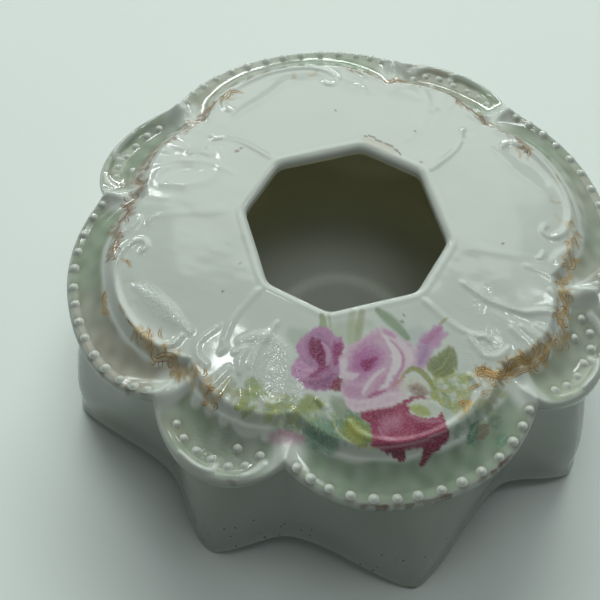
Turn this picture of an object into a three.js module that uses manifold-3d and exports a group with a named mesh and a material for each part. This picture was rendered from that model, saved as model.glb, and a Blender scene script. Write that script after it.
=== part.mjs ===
// Hair receiver: a lobed porcelain bowl on eight flared feet, and its lift-off lid with an
// octagonal finger hole. Millimetres, +Z up, origin on the table under the centre of the hole.
// The front is the big lobe towards -Y. Big lobes face -Y, +X, +Y and -X, with a small lobe
// between each two. A foot stands under every lobe.
import * as THREE from 'three';
import { mergeVertices } from 'three/addons/utils/BufferGeometryUtils.js';
import Module from 'manifold-3d';

// Overall sizes
const height = 52.6;            // table to the lip of the finger hole
const lobeRadius = 61.5;        // axis to the outer edge of a lobe
const notchDepth = 6.2;         // how far the edge comes in between two lobes
const notchAngle = 28.85;       // degrees from the middle of a big lobe to its notch
const bigLobeFullness = 2.6;    // 2 is a parabola, more is squarer
const smallLobeFullness = 2.05;

// Lid, top side: heights are drops below the lip
const holeRadius = 23;          // axis to a corner of the hole
const holeCornerAngle = 25.6;   // degrees from the middle of a big lobe to a corner
const holeTaper = 0.9;          // the hole is narrower at its lower edge by this on each side
const holeWall = 2.4;           // thickness of the lid at the hole
const lipWidth = 1.7;
const lipRise = 0.5;            // how far the lip stands above the dome
const domeDrop = 4.6;           // lip to the crest of the border
const domeFullness = 1.3;
const bandWidth = 8.4;          // border to edge on a big lobe
const pocketWidth = 11.6;       // border to edge on a small lobe
const borderWidth = 2.2;
const borderStep = 1.9;         // how far the band lies below the border
const edgeDrop = 11.4;          // lip to the edge of a lobe
const notchDrop = 7.1;          // lip to the edge at a notch
const bandHollow = 0.5;
const pocketHollow = 1.7;
const pocketLipWidth = 2.6;
const pocketLipRise = 0.7;
const bandLipRise = 0.1;

// Lid, wall and underside
const lidWall = 3.5;
const edgeThickness = 2.3;      // of a big lobe
const pocketEdgeThickness = 3.9;
const edgeRound = 0.7;
const flangeThickness = 2.6;
const flangeDrop = 14.8;        // lip to the lower edge of the locating flange
const flangeRound = 0.8;

// Beads and C scrolls on the lid
const beadRadius = 1.05;
const beadRise = 0.65;          // height of a bead above the surface
const beadInset = 1.7;          // edge to the middle of a bead, on a big lobe
const beadCount = 13;
const beadSpacingAngle = 4.2;   // degrees
const pocketBeadRadius = 0.85;
const pocketBeadRise = 0.55;
const pocketBeadInset = 4.5;
const pocketBeadCount = 8;
const pocketBeadSpacingAngle = 3.3;
// Leaves on a small lobe: border to the middle of the leaf, sideways, sizes, degrees of turn
const leafForms = [
  { back: 2.4, aside: -6.3, length: 9, radius: 1.5, rise: 0.7, turn: -14 },
  { back: 1.4, aside: -3.2, length: 8.6, radius: 1.4, rise: 0.65, turn: -6 },
  { back: 3.4, aside: 3.4, length: 11.5, radius: 2.6, rise: 0.7, turn: 14 },
  { back: 3.6, aside: 8.7, length: 8.6, radius: 1.4, rise: 0.65, turn: -3 },
  { back: -0.6, aside: 13, length: 8.2, radius: 1.7, rise: 0.9, turn: 32 },
  { back: -0.6, aside: -13, length: 8.2, radius: 1.7, rise: 0.9, turn: -32 },
];
const scrollRadius = 0.85;
const scrollLift = 0.1;         // centre of the scroll's round section above the surface
const scrollHalfWidth = 15;     // sideways, from the middle of the lobe
const scrollBack = 2.6;         // border to the crest of the scroll
const scrollHook = 10;          // how far the scroll's ends come back towards the hole
// Half of a scroll: shares of the hook back from its crest, and of its half width sideways
const scrollShares = [[0, 0], [0.08, 0.52], [0.45, 0.95], [0.9, 1], [1, 0.86]];

// Bowl
const bowlWall = 3;
const seatGap = 0.4;            // lid to the mouth of the bowl
const flangeClearance = 0.6;    // flange to the inside of the mouth, at its narrowest
const lobeOverhang = 4;         // the lid's edge past the mouth on a lobe
const notchOverhang = 1.2;      // and at a notch
const footReach = 2.5;          // a foot under a big lobe stands out past the edge by this
const smallFootReach = 0.7;
const scallopDepth = 9.5;       // how far the wall draws in at a notch, at the table
const bigScallopPower = 0.56;   // 1 is a wave, less draws in sooner beside the foot
const smallScallopPower = 0.8;
const archHeight = 6.2;         // at a notch
const archPower = 0.34;         // less rises sooner beside the foot
const footHalfAngle = 3.2;      // degrees, the flat under each foot
const skirtRound = 0.6;
const floorLift = 0.2;          // top of the arches to the underside of the floor
const floorThickness = 2.2;
const floorFillet = 4;
const floorRingRadius = 15.7;
const floorRingWidth = 1.6;
const floorRingHeight = 0.35;

// Facets
const bigLobeSteps = 8;         // middle of a big lobe to a corner of the hole
const smallLobeSteps = 6;       // notch to the middle of a small lobe
const scrollSteps = 24;
const beadSides = 6;
const beadRings = 3;

const lobeCount = 4;            // of each kind
const quarter = 360 / lobeCount;
const smallHalfAngle = quarter / 2 - notchAngle;
const radians = THREE.MathUtils.degToRad;
const mix = THREE.MathUtils.lerp;

// Where an angle lies on its lobe: along is 0 in the middle and 1 at the notch
function lobeAt(angle) {
  const fromBig = Math.abs(((angle % quarter) + quarter + quarter / 2) % quarter - quarter / 2);
  if (fromBig <= notchAngle) return { big: true, along: fromBig / notchAngle, fromBig };
  return { big: false, along: (quarter / 2 - fromBig) / smallHalfAngle, fromBig };
}

// How far an angle lies inside its lobe: 1 in the middle, 0 at the notch
function bulge(lobe) {
  return 1 - lobe.along ** (lobe.big ? bigLobeFullness : smallLobeFullness);
}

function edgeAt(angle) {
  const full = bulge(lobeAt(angle));
  const r = lobeRadius - notchDepth * (1 - full);
  return { r, z: height - mix(notchDrop, edgeDrop, full) };
}

// How much an angle belongs to a small lobe's pocket: 0 on a big lobe and at the notches
function pocketShare(angle) {
  const lobe = lobeAt(angle);
  return lobe.big ? 0 : bulge(lobe);
}

// The octagonal hole: straight sides between corners on one circle
function holeAt(angle) {
  const lobe = lobeAt(angle);
  const halfSide = lobe.fromBig <= holeCornerAngle ? holeCornerAngle : quarter / 2 - holeCornerAngle;
  const fromSide = lobe.fromBig <= holeCornerAngle ? lobe.fromBig : quarter / 2 - lobe.fromBig;
  return holeRadius * Math.cos(radians(halfSide)) / Math.cos(radians(fromSide));
}

function borderRadiusAt(angle) {
  return edgeAt(angle).r - mix(bandWidth, pocketWidth, pocketShare(angle));
}

function domeHeight(radius) {
  const start = holeRadius + lipWidth;
  const end = lobeRadius - bandWidth - borderWidth;
  const share = Math.max(radius - start, 0) / (end - start);
  return height - lipRise - (domeDrop - lipRise) * share ** domeFullness;
}

// Underside of the lid outside the flange, which the mouth of the bowl follows
function underAt(angle, radius) {
  const edge = edgeAt(angle);
  const thickness = mix(edgeThickness, pocketEdgeThickness, pocketShare(angle));
  const inner = borderRadiusAt(angle) - borderWidth;
  const hollow = mix(bandHollow, pocketHollow, pocketShare(angle));
  const share = (edge.r - edgeRound - radius) / (edge.r - edgeRound - inner);
  return mix(edge.z - thickness, domeHeight(inner) - lidWall - hollow, share);
}

function mouthRadiusAt(angle) {
  const full = bulge(lobeAt(angle));
  return edgeAt(angle).r - mix(notchOverhang, lobeOverhang, full);
}

const flangeRadius = lobeRadius - notchDepth - notchOverhang - bowlWall - flangeClearance;

// Top of the lid from the lip to the edge, as points [radius, height]
function lidTopAt(angle) {
  const hole = holeAt(angle);
  const edge = edgeAt(angle);
  const pocket = pocketShare(angle);
  const border = borderRadiusAt(angle);
  const crest = border - borderWidth;
  const domeStart = hole + lipWidth;
  const domePoint = (share) => {
    const r = mix(domeStart, crest, share);
    return [r, domeHeight(r)];
  };
  const step = [border, domeHeight(border) - borderStep];
  const lipFoot = [edge.r - pocketLipWidth, edge.z + mix(bandLipRise, 0, pocket) + edgeRound];
  return [
    [hole + lipWidth / 2, height],
    [domeStart, domeHeight(domeStart)],
    domePoint(1 / 2),
    [crest, domeHeight(crest)],
    step,
    [mix(step[0], lipFoot[0], 1 / 2),
      mix(step[1], lipFoot[1], 1 / 2) - mix(bandHollow, pocketHollow, pocket)],
    [lipFoot[0], lipFoot[1] - mix(0, pocketLipRise, pocket)],
    [edge.r - pocketLipWidth / 2, edge.z + mix(bandLipRise, pocketLipRise, pocket)],
    [edge.r, edge.z - edgeRound],
  ];
}

function lidSection(angle) {
  const hole = holeAt(angle);
  const edge = edgeAt(angle);
  const inner = flangeRadius - flangeThickness;
  const flangeFoot = height - flangeDrop;
  const crest = borderRadiusAt(angle) - borderWidth;
  const innerTop = Math.min(inner, crest);
  const seat = mouthRadiusAt(angle);
  const holeFoot = [hole - holeTaper, height - holeWall];
  const domeMiddle = mix(holeFoot[0], innerTop, 1 / 2);
  return [
    holeFoot,
    [hole, height - lipRise],
    ...lidTopAt(angle),
    [edge.r - edgeRound, underAt(angle, edge.r - edgeRound)],
    [seat, underAt(angle, seat)],
    [flangeRadius, underAt(angle, flangeRadius)],
    [flangeRadius, flangeFoot + flangeRound],
    [flangeRadius - flangeRound, flangeFoot],
    [inner, flangeFoot + flangeRound],
    [inner, domeHeight(inner) - lidWall - flangeRound],
    [domeMiddle, domeHeight(domeMiddle) - lidWall],
  ];
}

// A wave along each lobe: 0 over the flat of its foot, 1 at the notch
function waveAt(lobe, flatAngle) {
  const flat = flatAngle / (lobe.big ? notchAngle : smallHalfAngle);
  return (1 - Math.cos(Math.PI * Math.max(lobe.along - flat, 0) / (1 - flat))) / 2;
}

// Lower edge of the bowl: it reaches out to the feet, and draws in and arches up to the notches
function skirtAt(angle) {
  const lobe = lobeAt(angle);
  const reach = lobe.big ? footReach : smallFootReach;
  const drawnIn = waveAt(lobe, 0) ** (lobe.big ? bigScallopPower : smallScallopPower);
  const middle = lobeRadius + (footReach + smallFootReach) / 2 - scallopDepth;
  return { r: mix(lobeRadius + reach, middle, drawnIn), z: archHeight * waveAt(lobe, footHalfAngle) ** archPower };
}

// Outer wall of the bowl at a share of its height: it swells down from the mouth to the feet
function bowlWallAt(angle, share) {
  const skirt = skirtAt(angle);
  const mouth = mouthRadiusAt(angle);
  const top = underAt(angle, mouth) - seatGap;
  const foot = skirt.z + skirtRound;
  return [mouth + (skirt.r - mouth) * (1 - share ** 2), mix(foot, top, share)];
}

function bowlSection(angle) {
  const skirt = skirtAt(angle);
  const under = archHeight + floorLift;
  const floor = under + floorThickness;
  const mouthInner = mouthRadiusAt(angle) - bowlWall;
  const heightShares = [1, 3 / 4, 1 / 2, 1 / 4, 0];
  const outer = heightShares.map((share) => bowlWallAt(angle, share));
  const inside = (z) => {
    const top = outer[0][1];
    const foot = skirt.z + skirtRound;
    return bowlWallAt(angle, (z - foot) / (top - foot))[0] - bowlWall;
  };
  const innerHeights = [0, 1 / 3, 2 / 3].map((share) => mix(floor + floorFillet, outer[0][1], share));
  return [
    [0, floor],
    [floorRingRadius - floorRingWidth / 2, floor],
    [floorRingRadius, floor + floorRingHeight],
    [floorRingRadius + floorRingWidth / 2, floor],
    [inside(floor) - floorFillet, floor],
    ...innerHeights.map((z) => [inside(z), z]),
    [mouthInner, underAt(angle, mouthInner) - seatGap],
    ...outer,
    [skirt.r - skirtRound, skirt.z],
    [skirt.r - bowlWall, skirt.z],
    [inside(under), under],
    [0, under],
  ];
}

// Joins the sections at the given angles all the way round. Each section runs with the solid on
// its right. A section that starts and ends on the axis closes there, any other closes on itself.
function revolve(sectionAt, angles) {
  const sections = angles.map(sectionAt);
  const count = sections[0].length;
  const onAxis = sections[0][0][0] === 0;
  const positions = [];
  sections.forEach((section, i) => {
    const turn = radians(angles[i]);
    section.forEach(([r, z]) => positions.push(r * Math.cos(turn), r * Math.sin(turn), z));
  });
  const index = [];
  const last = onAxis ? count - 1 : count;
  for (let i = 0; i < sections.length; i += 1) {
    const next = (i + 1) % sections.length;
    for (let j = 0; j < last; j += 1) {
      const a = i * count + j;
      const b = i * count + (j + 1) % count;
      const c = next * count + (j + 1) % count;
      const d = next * count + j;
      if (!(onAxis && j === count - 2)) index.push(a, b, c);
      if (!(onAxis && j === 0)) index.push(a, c, d);
    }
  }
  const geometry = new THREE.BufferGeometry();
  geometry.setAttribute('position', new THREE.Float32BufferAttribute(positions, 3));
  geometry.setIndex(index);
  return mergeVertices(geometry);
}

// Angles of the sections, which hit every notch, every corner of the hole and every foot
function sectionAngles() {
  const half = [];
  for (let k = 0; k < bigLobeSteps; k += 1) half.push(holeCornerAngle * k / bigLobeSteps);
  half.push(holeCornerAngle);
  for (let k = 0; k < smallLobeSteps; k += 1) half.push(notchAngle + smallHalfAngle * k / smallLobeSteps);
  const angles = [];
  for (let lobe = 0; lobe < lobeCount; lobe += 1) {
    half.forEach((angle) => angles.push(lobe * quarter + angle));
    half.slice(1).reverse().forEach((angle) => angles.push((lobe + 1) * quarter - angle));
    angles.push(lobe * quarter + quarter / 2);
  }
  return angles.sort((a, b) => a - b);
}

// Height of the lid's top surface at a place on it
function topHeight(angle, radius) {
  const points = lidTopAt(angle);
  const k = Math.max(points.findIndex(([r]) => r > radius), 1);
  const [from, to] = [points[k - 1], points[k]];
  return mix(from[1], to[1], (radius - from[0]) / (to[0] - from[0]));
}

function onTop(angle, radius, lift) {
  const turn = radians(angle);
  return new THREE.Vector3(radius * Math.cos(turn), radius * Math.sin(turn), topHeight(angle, radius) + lift);
}

// A low round form on the top, which may be drawn out along a direction
function dome(place, radius, rise, stretch = 1, turn = 0) {
  const form = new THREE.SphereGeometry(radius, beadSides, beadRings).rotateX(radians(90));
  form.scale(stretch, 1, rise / radius).rotateZ(radians(turn));
  return form.translate(place.x, place.y, place.z);
}

function beads(middle, count, spacing, inset, radius, rise) {
  return Array.from({ length: count }, (_, i) => {
    const angle = middle + (i - (count - 1) / 2) * spacing;
    return dome(onTop(angle, edgeAt(angle).r - inset, 0), radius, rise);
  });
}

// Raised leaves round a small lobe's border, and a knot at each of its notches
function leaves(middle) {
  return leafForms.map(({ back, aside, length, radius, rise, turn }) => {
    const outward = borderRadiusAt(middle) - back;
    const angle = middle + THREE.MathUtils.radToDeg(Math.atan2(aside, outward));
    return dome(onTop(angle, Math.hypot(aside, outward), 0), radius, rise, length / (2 * radius), middle + turn);
  });
}

// A C scroll round the inside of a big lobe's border, with both ends turned back to the hole
function scroll(middle) {
  const crest = borderRadiusAt(middle) - scrollBack;
  const half = scrollShares.map(([back, side]) => [crest - scrollHook * back, scrollHalfWidth * side]);
  const outline = [...half.slice(1).reverse().map(([x, y]) => [x, -y]), ...half];
  const places = outline.map(([x, y]) => {
    const angle = middle + THREE.MathUtils.radToDeg(Math.atan2(y, x));
    return onTop(angle, Math.hypot(x, y), scrollLift);
  });
  const section = new THREE.Shape().absarc(0, 0, scrollRadius, 0, 2 * Math.PI);
  return new THREE.ExtrudeGeometry(section, {
    steps: scrollSteps,
    curveSegments: 3,
    extrudePath: new THREE.CatmullRomCurve3(places),
  });
}

const wasm = await Module();
wasm.setup();

function toSolid(geometry) {
  const bare = geometry.clone();
  bare.deleteAttribute('normal');
  bare.deleteAttribute('uv');
  const merged = mergeVertices(bare);
  return new wasm.Manifold(new wasm.Mesh({
    numProp: 3,
    vertProperties: new Float32Array(merged.attributes.position.array),
    triVerts: new Uint32Array(merged.index.array),
  }));
}

function toGeometry(solid) {
  const mesh = solid.getMesh();
  const geometry = new THREE.BufferGeometry();
  geometry.setAttribute('position', new THREE.BufferAttribute(mesh.vertProperties, 3));
  geometry.setIndex(new THREE.BufferAttribute(mesh.triVerts, 1));
  geometry.computeVertexNormals();
  return geometry;
}

function makeLid() {
  let solid = toSolid(revolve(lidSection, sectionAngles()));
  for (let lobe = 0; lobe < lobeCount; lobe += 1) {
    const big = lobe * quarter;
    const small = big + quarter / 2;
    const added = [
      scroll(big),
      ...leaves(small),
      ...beads(big, beadCount, beadSpacingAngle, beadInset, beadRadius, beadRise),
      ...beads(small, pocketBeadCount, pocketBeadSpacingAngle, pocketBeadInset, pocketBeadRadius, pocketBeadRise),
    ];
    added.forEach((geometry) => { solid = solid.add(toSolid(geometry)); });
  }
  return toGeometry(solid);
}

function makeBowl() {
  return toGeometry(toSolid(revolve(bowlSection, sectionAngles())));
}

const glaze = { color: 0xdfe6df, roughness: 0.18, metalness: 0 };
const lid = new THREE.Mesh(makeLid(), new THREE.MeshStandardMaterial(glaze));
lid.name = 'lid';
const bowl = new THREE.Mesh(makeBowl(), new THREE.MeshStandardMaterial(glaze));
bowl.name = 'bowl';

const hairReceiver = new THREE.Group();
hairReceiver.add(bowl, lid);
export default hairReceiver;
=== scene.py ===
import math
import random
import bmesh
import bpy
import numpy as np
from mathutils import Matrix, Vector


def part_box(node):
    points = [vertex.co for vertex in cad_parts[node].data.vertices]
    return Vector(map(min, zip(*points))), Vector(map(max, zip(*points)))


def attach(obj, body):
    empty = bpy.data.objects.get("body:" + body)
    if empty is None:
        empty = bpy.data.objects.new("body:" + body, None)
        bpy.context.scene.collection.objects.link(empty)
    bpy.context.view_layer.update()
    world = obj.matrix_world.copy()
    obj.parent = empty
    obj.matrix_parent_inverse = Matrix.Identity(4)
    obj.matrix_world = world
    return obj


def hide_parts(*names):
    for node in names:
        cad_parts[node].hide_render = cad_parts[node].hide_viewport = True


# Hair receiver: a lobed porcelain bowl on eight feet and its lift-off lid with a finger hole.
# The forms are worked out in millimetres, in the same frame as the model that this stands around:
# +Z up, the big lobe with the roses towards -Y, a small lobe between each two big ones.

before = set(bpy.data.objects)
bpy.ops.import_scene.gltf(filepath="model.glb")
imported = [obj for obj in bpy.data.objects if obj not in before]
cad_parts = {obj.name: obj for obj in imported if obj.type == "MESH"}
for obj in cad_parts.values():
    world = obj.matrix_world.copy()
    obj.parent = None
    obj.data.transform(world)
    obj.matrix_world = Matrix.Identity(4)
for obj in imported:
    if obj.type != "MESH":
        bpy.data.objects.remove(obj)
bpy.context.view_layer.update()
mm = 0.001
scene = bpy.context.scene
scene.view_settings.view_transform = "Standard"
print("frame loaded")


# Camera, floor and lamps

cameraView = {
    "lens": 78,
    "sensor": 36,
    "clipStart": 0.02,
    "azimuth": -16.09,
    "elevation": 57.19,
    "roll": 0.82,
    "distance": 331.3,
    "target": (-5.23, 16.59, 0),
}

# the floor looks pale, but throws less light back at the object, as a smaller table would
stageSettings = {
    "floorSize": 2.4,
    "floorColours": ("#f0f8f2", "#f4fbf6"),
    "floorCloudScale": 9,
    "floorRoughness": 0.62,
    "floorGloss": 0.25,
    "bounceColour": "#7b817c",
    "worldColour": "#dfe9e4",
    "worldStrength": 0.17,
}

# Each lamp: azimuth and elevation seen from the object, distance, width and height in metres, watts,
# colour, and what it is seen by. The window lights the room through a curtain, and the glaze mirrors
# the curtain and the bright panes beside it.
lamps = {
    "windowLamp": (164, 44, 1.9, 1.63, 1.15, 27.6, "#f4fcf9", "light"),
    "windowCurtain": (160, 44, 1.9, 1.63, 1.15, 10.6, "#f4fcf9", "mirror"),
    "highPane": (213, 70.5, 1.4, 0.11, 0.12, 1.0, "#f8fefc", "mirror"),
    "leftPane": (206, 40, 1.4, 0.12, 0.14, 1.0, "#f8fefc", "mirror"),
    "farPane": (193, 37, 1.4, 0.1, 0.1, 0.7, "#f8fefc", "mirror"),
    "rightPane": (108, 53, 1.4, 0.12, 0.18, 1.0, "#f8fefc", "mirror"),
    "lowPane": (166, 12, 1.4, 1.2, 0.1, 5.8, "#f8fefc", "mirror"),
    "ceilingLamp": (29, 84, 0.8, 0.3, 0.3, 0.85, "#f6fbff", "light"),
}


def linearColour(hexText, alpha=1.0):
    # sRGB hex to the linear values that the renderer works in
    values = [int(hexText[i:i + 2], 16) / 255 for i in (1, 3, 5)]
    return [v / 12.92 if v <= 0.04045 else ((v + 0.055) / 1.055) ** 2.4 for v in values] + [alpha]


def addNode(tree, kind, settings=None, links=None):
    # settings name a property or an input, links name an input and the output that feeds it
    node = tree.nodes.new("ShaderNode" + kind)
    for key, value in (settings or {}).items():
        if isinstance(key, str) and hasattr(node, key):
            setattr(node, key, value)
        else:
            node.inputs[key].default_value = value
    for key, output in (links or {}).items():
        tree.links.new(output, node.inputs[key])
    return node


def newMaterial(name):
    # an empty material, with the node that gives a place on the object in metres
    material = bpy.data.materials.new(name)
    material.use_nodes = True
    tree = material.node_tree
    tree.nodes.clear()
    return material, tree, addNode(tree, "TexCoord").outputs["Object"]


def direction(azimuth, elevation):
    turn, lift = math.radians(azimuth), math.radians(elevation)
    return Vector((math.sin(turn) * math.cos(lift), -math.cos(turn) * math.cos(lift), math.sin(lift)))


def makeCamera():
    view = cameraView
    turn, roll = math.radians(view["azimuth"]), math.radians(view["roll"])
    back = direction(view["azimuth"], view["elevation"])
    right = Vector((math.cos(turn), math.sin(turn), 0))
    up = back.cross(right)
    sideways = right * math.cos(roll) + up * math.sin(roll)
    upwards = up * math.cos(roll) - right * math.sin(roll)
    place = (Vector(view["target"]) + back * view["distance"]) * mm
    data = bpy.data.cameras.new("photoCamera")
    data.lens = view["lens"]
    data.sensor_width = view["sensor"]
    data.clip_start = view["clipStart"]
    camera = bpy.data.objects.new("photoCamera", data)
    camera.matrix_world = Matrix((
        (sideways.x, upwards.x, back.x, place.x),
        (sideways.y, upwards.y, back.y, place.y),
        (sideways.z, upwards.z, back.z, place.z),
        (0, 0, 0, 1),
    ))
    scene.collection.objects.link(camera)
    scene.camera = camera


def makeLamp(name, azimuth, elevation, distance, width, height, watts, colour, use):
    data = bpy.data.lights.new(name, "AREA")
    data.shape = "RECTANGLE"
    data.size = width
    data.size_y = height
    data.energy = watts
    data.color = linearColour(colour)[:3]
    lamp = bpy.data.objects.new(name, data)
    lamp.visible_glossy = use == "mirror"
    lamp.visible_diffuse = use == "light"
    towards = direction(azimuth, elevation)
    lamp.location = towards * distance
    lamp.rotation_mode = "QUATERNION"
    lamp.rotation_quaternion = towards.to_track_quat("Z", "Y")
    scene.collection.objects.link(lamp)


def meshFrom(form, name):
    data = bpy.data.meshes.new(name)
    form.to_mesh(data)
    form.free()
    return data


def makeFloor():
    # painted table top: matt, faintly uneven
    settings = stageSettings
    material, tree, place = newMaterial("paintedTableTop")
    cloud = addNode(tree, "TexNoise", {"Scale": settings["floorCloudScale"], "Detail": 3}, {"Vector": place})
    low, high = (linearColour(colour) for colour in settings["floorColours"])
    tone = addNode(tree, "Mix", {"data_type": "RGBA", 6: low, 7: high}, {0: cloud.outputs["Fac"]})
    path = addNode(tree, "LightPath")
    seen = addNode(tree, "Mix", {"data_type": "RGBA", 7: linearColour(settings["bounceColour"])},
                   {0: path.outputs["Is Diffuse Ray"], 6: tone.outputs[2]})
    surface = addNode(tree, "BsdfPrincipled",
                      {"Roughness": settings["floorRoughness"], "Specular IOR Level": settings["floorGloss"]},
                      {"Base Color": seen.outputs[2]})
    addNode(tree, "OutputMaterial", links={"Surface": surface.outputs[0]})
    form = bmesh.new()
    bmesh.ops.create_grid(form, x_segments=1, y_segments=1, size=settings["floorSize"] / 2)
    data = meshFrom(form, "floor")
    data.materials.append(material)
    floor = bpy.data.objects.new("floor", data)
    scene.collection.objects.link(floor)


def makeWorld():
    world = bpy.data.worlds.new("room")
    world.use_nodes = True
    scene.world = world
    ground = world.node_tree.nodes["Background"]
    ground.inputs["Color"].default_value = linearColour(stageSettings["worldColour"])
    ground.inputs["Strength"].default_value = stageSettings["worldStrength"]


makeCamera()
makeFloor()
makeWorld()
for lampName, lampValues in lamps.items():
    makeLamp(lampName, *lampValues)
print("camera, floor and lamps made")


# Plan of the lobes, shared by lid and bowl. Lengths in millimetres, angles in degrees.

lidForm = {
    "lobeRadius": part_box("lid")[1].x / mm,
    "height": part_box("lid")[1].z / mm,
    "notchDepth": 6.2,
    "notchAngle": 28.85,
    "bigFullness": 2.6,
    "smallFullness": 2.05,
    "holeRadius": 23.0,
    "holeCorner": 25.6,
    "holeSharpness": 48,
    "holeTaper": 0.9,
    "holeStraightShare": 0.3,
    "holeRoll": 1.15,
    "lastRoll": 64.0,
    "holeWall": 2.4,
    "lipWidth": 2.3,
    "lipRise": 0.32,
    "lipFall": 0.24,
    "lipFallShare": 0.45,
    "domeDrop": 4.6,
    "domeFullness": 1.12,
    "facetReach": 17.0,
    "bandWidth": 8.4,
    "pocketWidth": 11.6,
    "borderWidth": 2.4,
    "borderStep": 1.9,
    "edgeDrop": 11.4,
    "notchDrop": 7.1,
    "bandHollow": 0.5,
    "pocketHollow": 1.7,
    "rimWidth": 2.6,
    "pocketRimRise": 0.75,
    "bandRimRise": 0.12,
    "wall": 3.5,
    "edgeThickness": 2.3,
    "pocketEdgeThickness": 3.9,
    "edgeRound": 0.7,
    "flangeRadius": 50.5,
    "flangeThickness": 2.6,
    "flangeDrop": 14.8,
    "flangeRound": 0.8,
    "mouthOverhang": 4.0,
    "notchOverhang": 1.2,
    "seatGap": 0.4,
}


def mix(low, high, share):
    return low + (high - low) * share


def smooth(share):
    share = np.clip(share, 0, 1)
    return share * share * (3 - 2 * share)


def fading(value, end, width):
    # falls from 1 to 0 over a width that ends where the value reaches the end
    return smooth((end - value) / width)


def lobePlan(angle):
    # how far each angle bulges out in its lobe (0 at a notch, 1 in the middle), and how much of
    # that belongs to a small lobe
    form = lidForm
    fromBig = np.abs((angle + 45) % 90 - 45)
    big = fromBig <= form["notchAngle"]
    along = np.where(big, fromBig / form["notchAngle"], (45 - fromBig) / (45 - form["notchAngle"]))
    full = 1 - along ** np.where(big, form["bigFullness"], form["smallFullness"])
    return full, np.where(big, 0, full), fromBig


def edgeAt(angle):
    full = lobePlan(angle)[0]
    radius = lidForm["lobeRadius"] - lidForm["notchDepth"] * (1 - full)
    return radius, lidForm["height"] - mix(lidForm["notchDrop"], lidForm["edgeDrop"], full)


def holeAt(angle):
    # an octagon with slightly rounded corners
    corner, sharpness = math.radians(lidForm["holeCorner"]), lidForm["holeSharpness"]
    total = 0
    for side in range(8):
        half = corner if side % 2 == 0 else math.pi / 4 - corner
        apart = np.radians(angle - side * 45)
        total = total + np.maximum(np.cos(apart) / (lidForm["holeRadius"] * math.cos(half)), 0) ** sharpness
    return total ** (-1 / sharpness)


def borderAt(angle):
    return edgeAt(angle)[0] - mix(lidForm["bandWidth"], lidForm["pocketWidth"], lobePlan(angle)[1])


def domeHeight(angle, radius):
    # eight facets next to the hole, which fade into a round dome
    form = lidForm
    hole = holeAt(angle)
    roundShare = smooth((radius - hole) / form["facetReach"])
    spread = mix(radius * form["holeRadius"] / hole, radius, roundShare)
    start = form["holeRadius"] + form["lipWidth"]
    end = form["lobeRadius"] - form["bandWidth"] - form["borderWidth"]
    share = np.maximum(spread - start, 0) / (end - start)
    drop = (form["domeDrop"] - form["lipRise"]) * share ** form["domeFullness"]
    return form["height"] - form["lipRise"] - drop


def topHeight(angle, radius):
    # height of the lid's plain top surface, before its relief
    form = lidForm
    pocket = lobePlan(angle)[1]
    edgeRadius, edgeHeight = edgeAt(angle)
    border, hole = borderAt(angle), holeAt(angle)
    # the dome, with its lip at the hole and its step down at the border
    down = smooth((radius - border + form["borderWidth"]) / form["borderWidth"])
    inside = domeHeight(angle, radius) - form["borderStep"] * down
    lipShare = np.clip((radius - hole) / form["lipWidth"], 0, 1)
    inside = inside + form["lipRise"] * (np.cos(np.pi * lipShare) + 1) / 2
    inside = inside - form["lipFall"] * np.maximum(1 - lipShare / form["lipFallShare"], 0) ** 2
    # the hollow band or small lobe outside the border
    rimFoot = edgeRadius - form["rimWidth"]
    footHeight = (edgeHeight + form["edgeRound"] + form["bandRimRise"] * (1 - pocket)
                  - form["pocketRimRise"] * pocket)
    borderFoot = domeHeight(angle, border) - form["borderStep"]
    share = np.clip((radius - border) / (rimFoot - border), 0, 1)
    hollow = mix(form["bandHollow"], form["pocketHollow"], pocket)
    field = mix(borderFoot, footHeight, share) - hollow * np.sin(np.pi * share)
    # the rim at the edge rises and falls
    rimShare = np.clip((radius - rimFoot) / form["rimWidth"], 0, 1)
    rimTop = np.maximum(edgeHeight + mix(form["bandRimRise"], form["pocketRimRise"], pocket), footHeight)
    rising = mix(footHeight, rimTop, np.sin(np.pi * np.minimum(rimShare, 0.5)))
    outerShare = np.clip(rimShare * 2 - 1, 0, 1)
    falling = mix(edgeHeight - form["edgeRound"], rimTop, np.sqrt(1 - outerShare ** 2))
    rim = np.where(rimShare < 0.5, rising, falling)
    return np.where(radius < border, inside, np.where(radius < rimFoot, field, rim))


def underHeight(angle, radius):
    form = lidForm
    pocket = lobePlan(angle)[1]
    edgeRadius, edgeHeight = edgeAt(angle)
    thickness = mix(form["edgeThickness"], form["pocketEdgeThickness"], pocket)
    hollow = mix(form["bandHollow"], form["pocketHollow"], pocket)
    inner = borderAt(angle) - form["borderWidth"]
    outer = edgeRadius - form["edgeRound"]
    share = (outer - radius) / (outer - inner)
    return mix(edgeHeight - thickness, domeHeight(angle, inner) - form["wall"] - hollow, share)


def mouthAt(angle):
    overhang = mix(lidForm["notchOverhang"], lidForm["mouthOverhang"], lobePlan(angle)[0])
    return edgeAt(angle)[0] - overhang


# Relief on the lid, modelled as raised strands and hollows.
# Each strand: its height, then places (sideways, outwards, half width) in the lobe's own frame.

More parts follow.
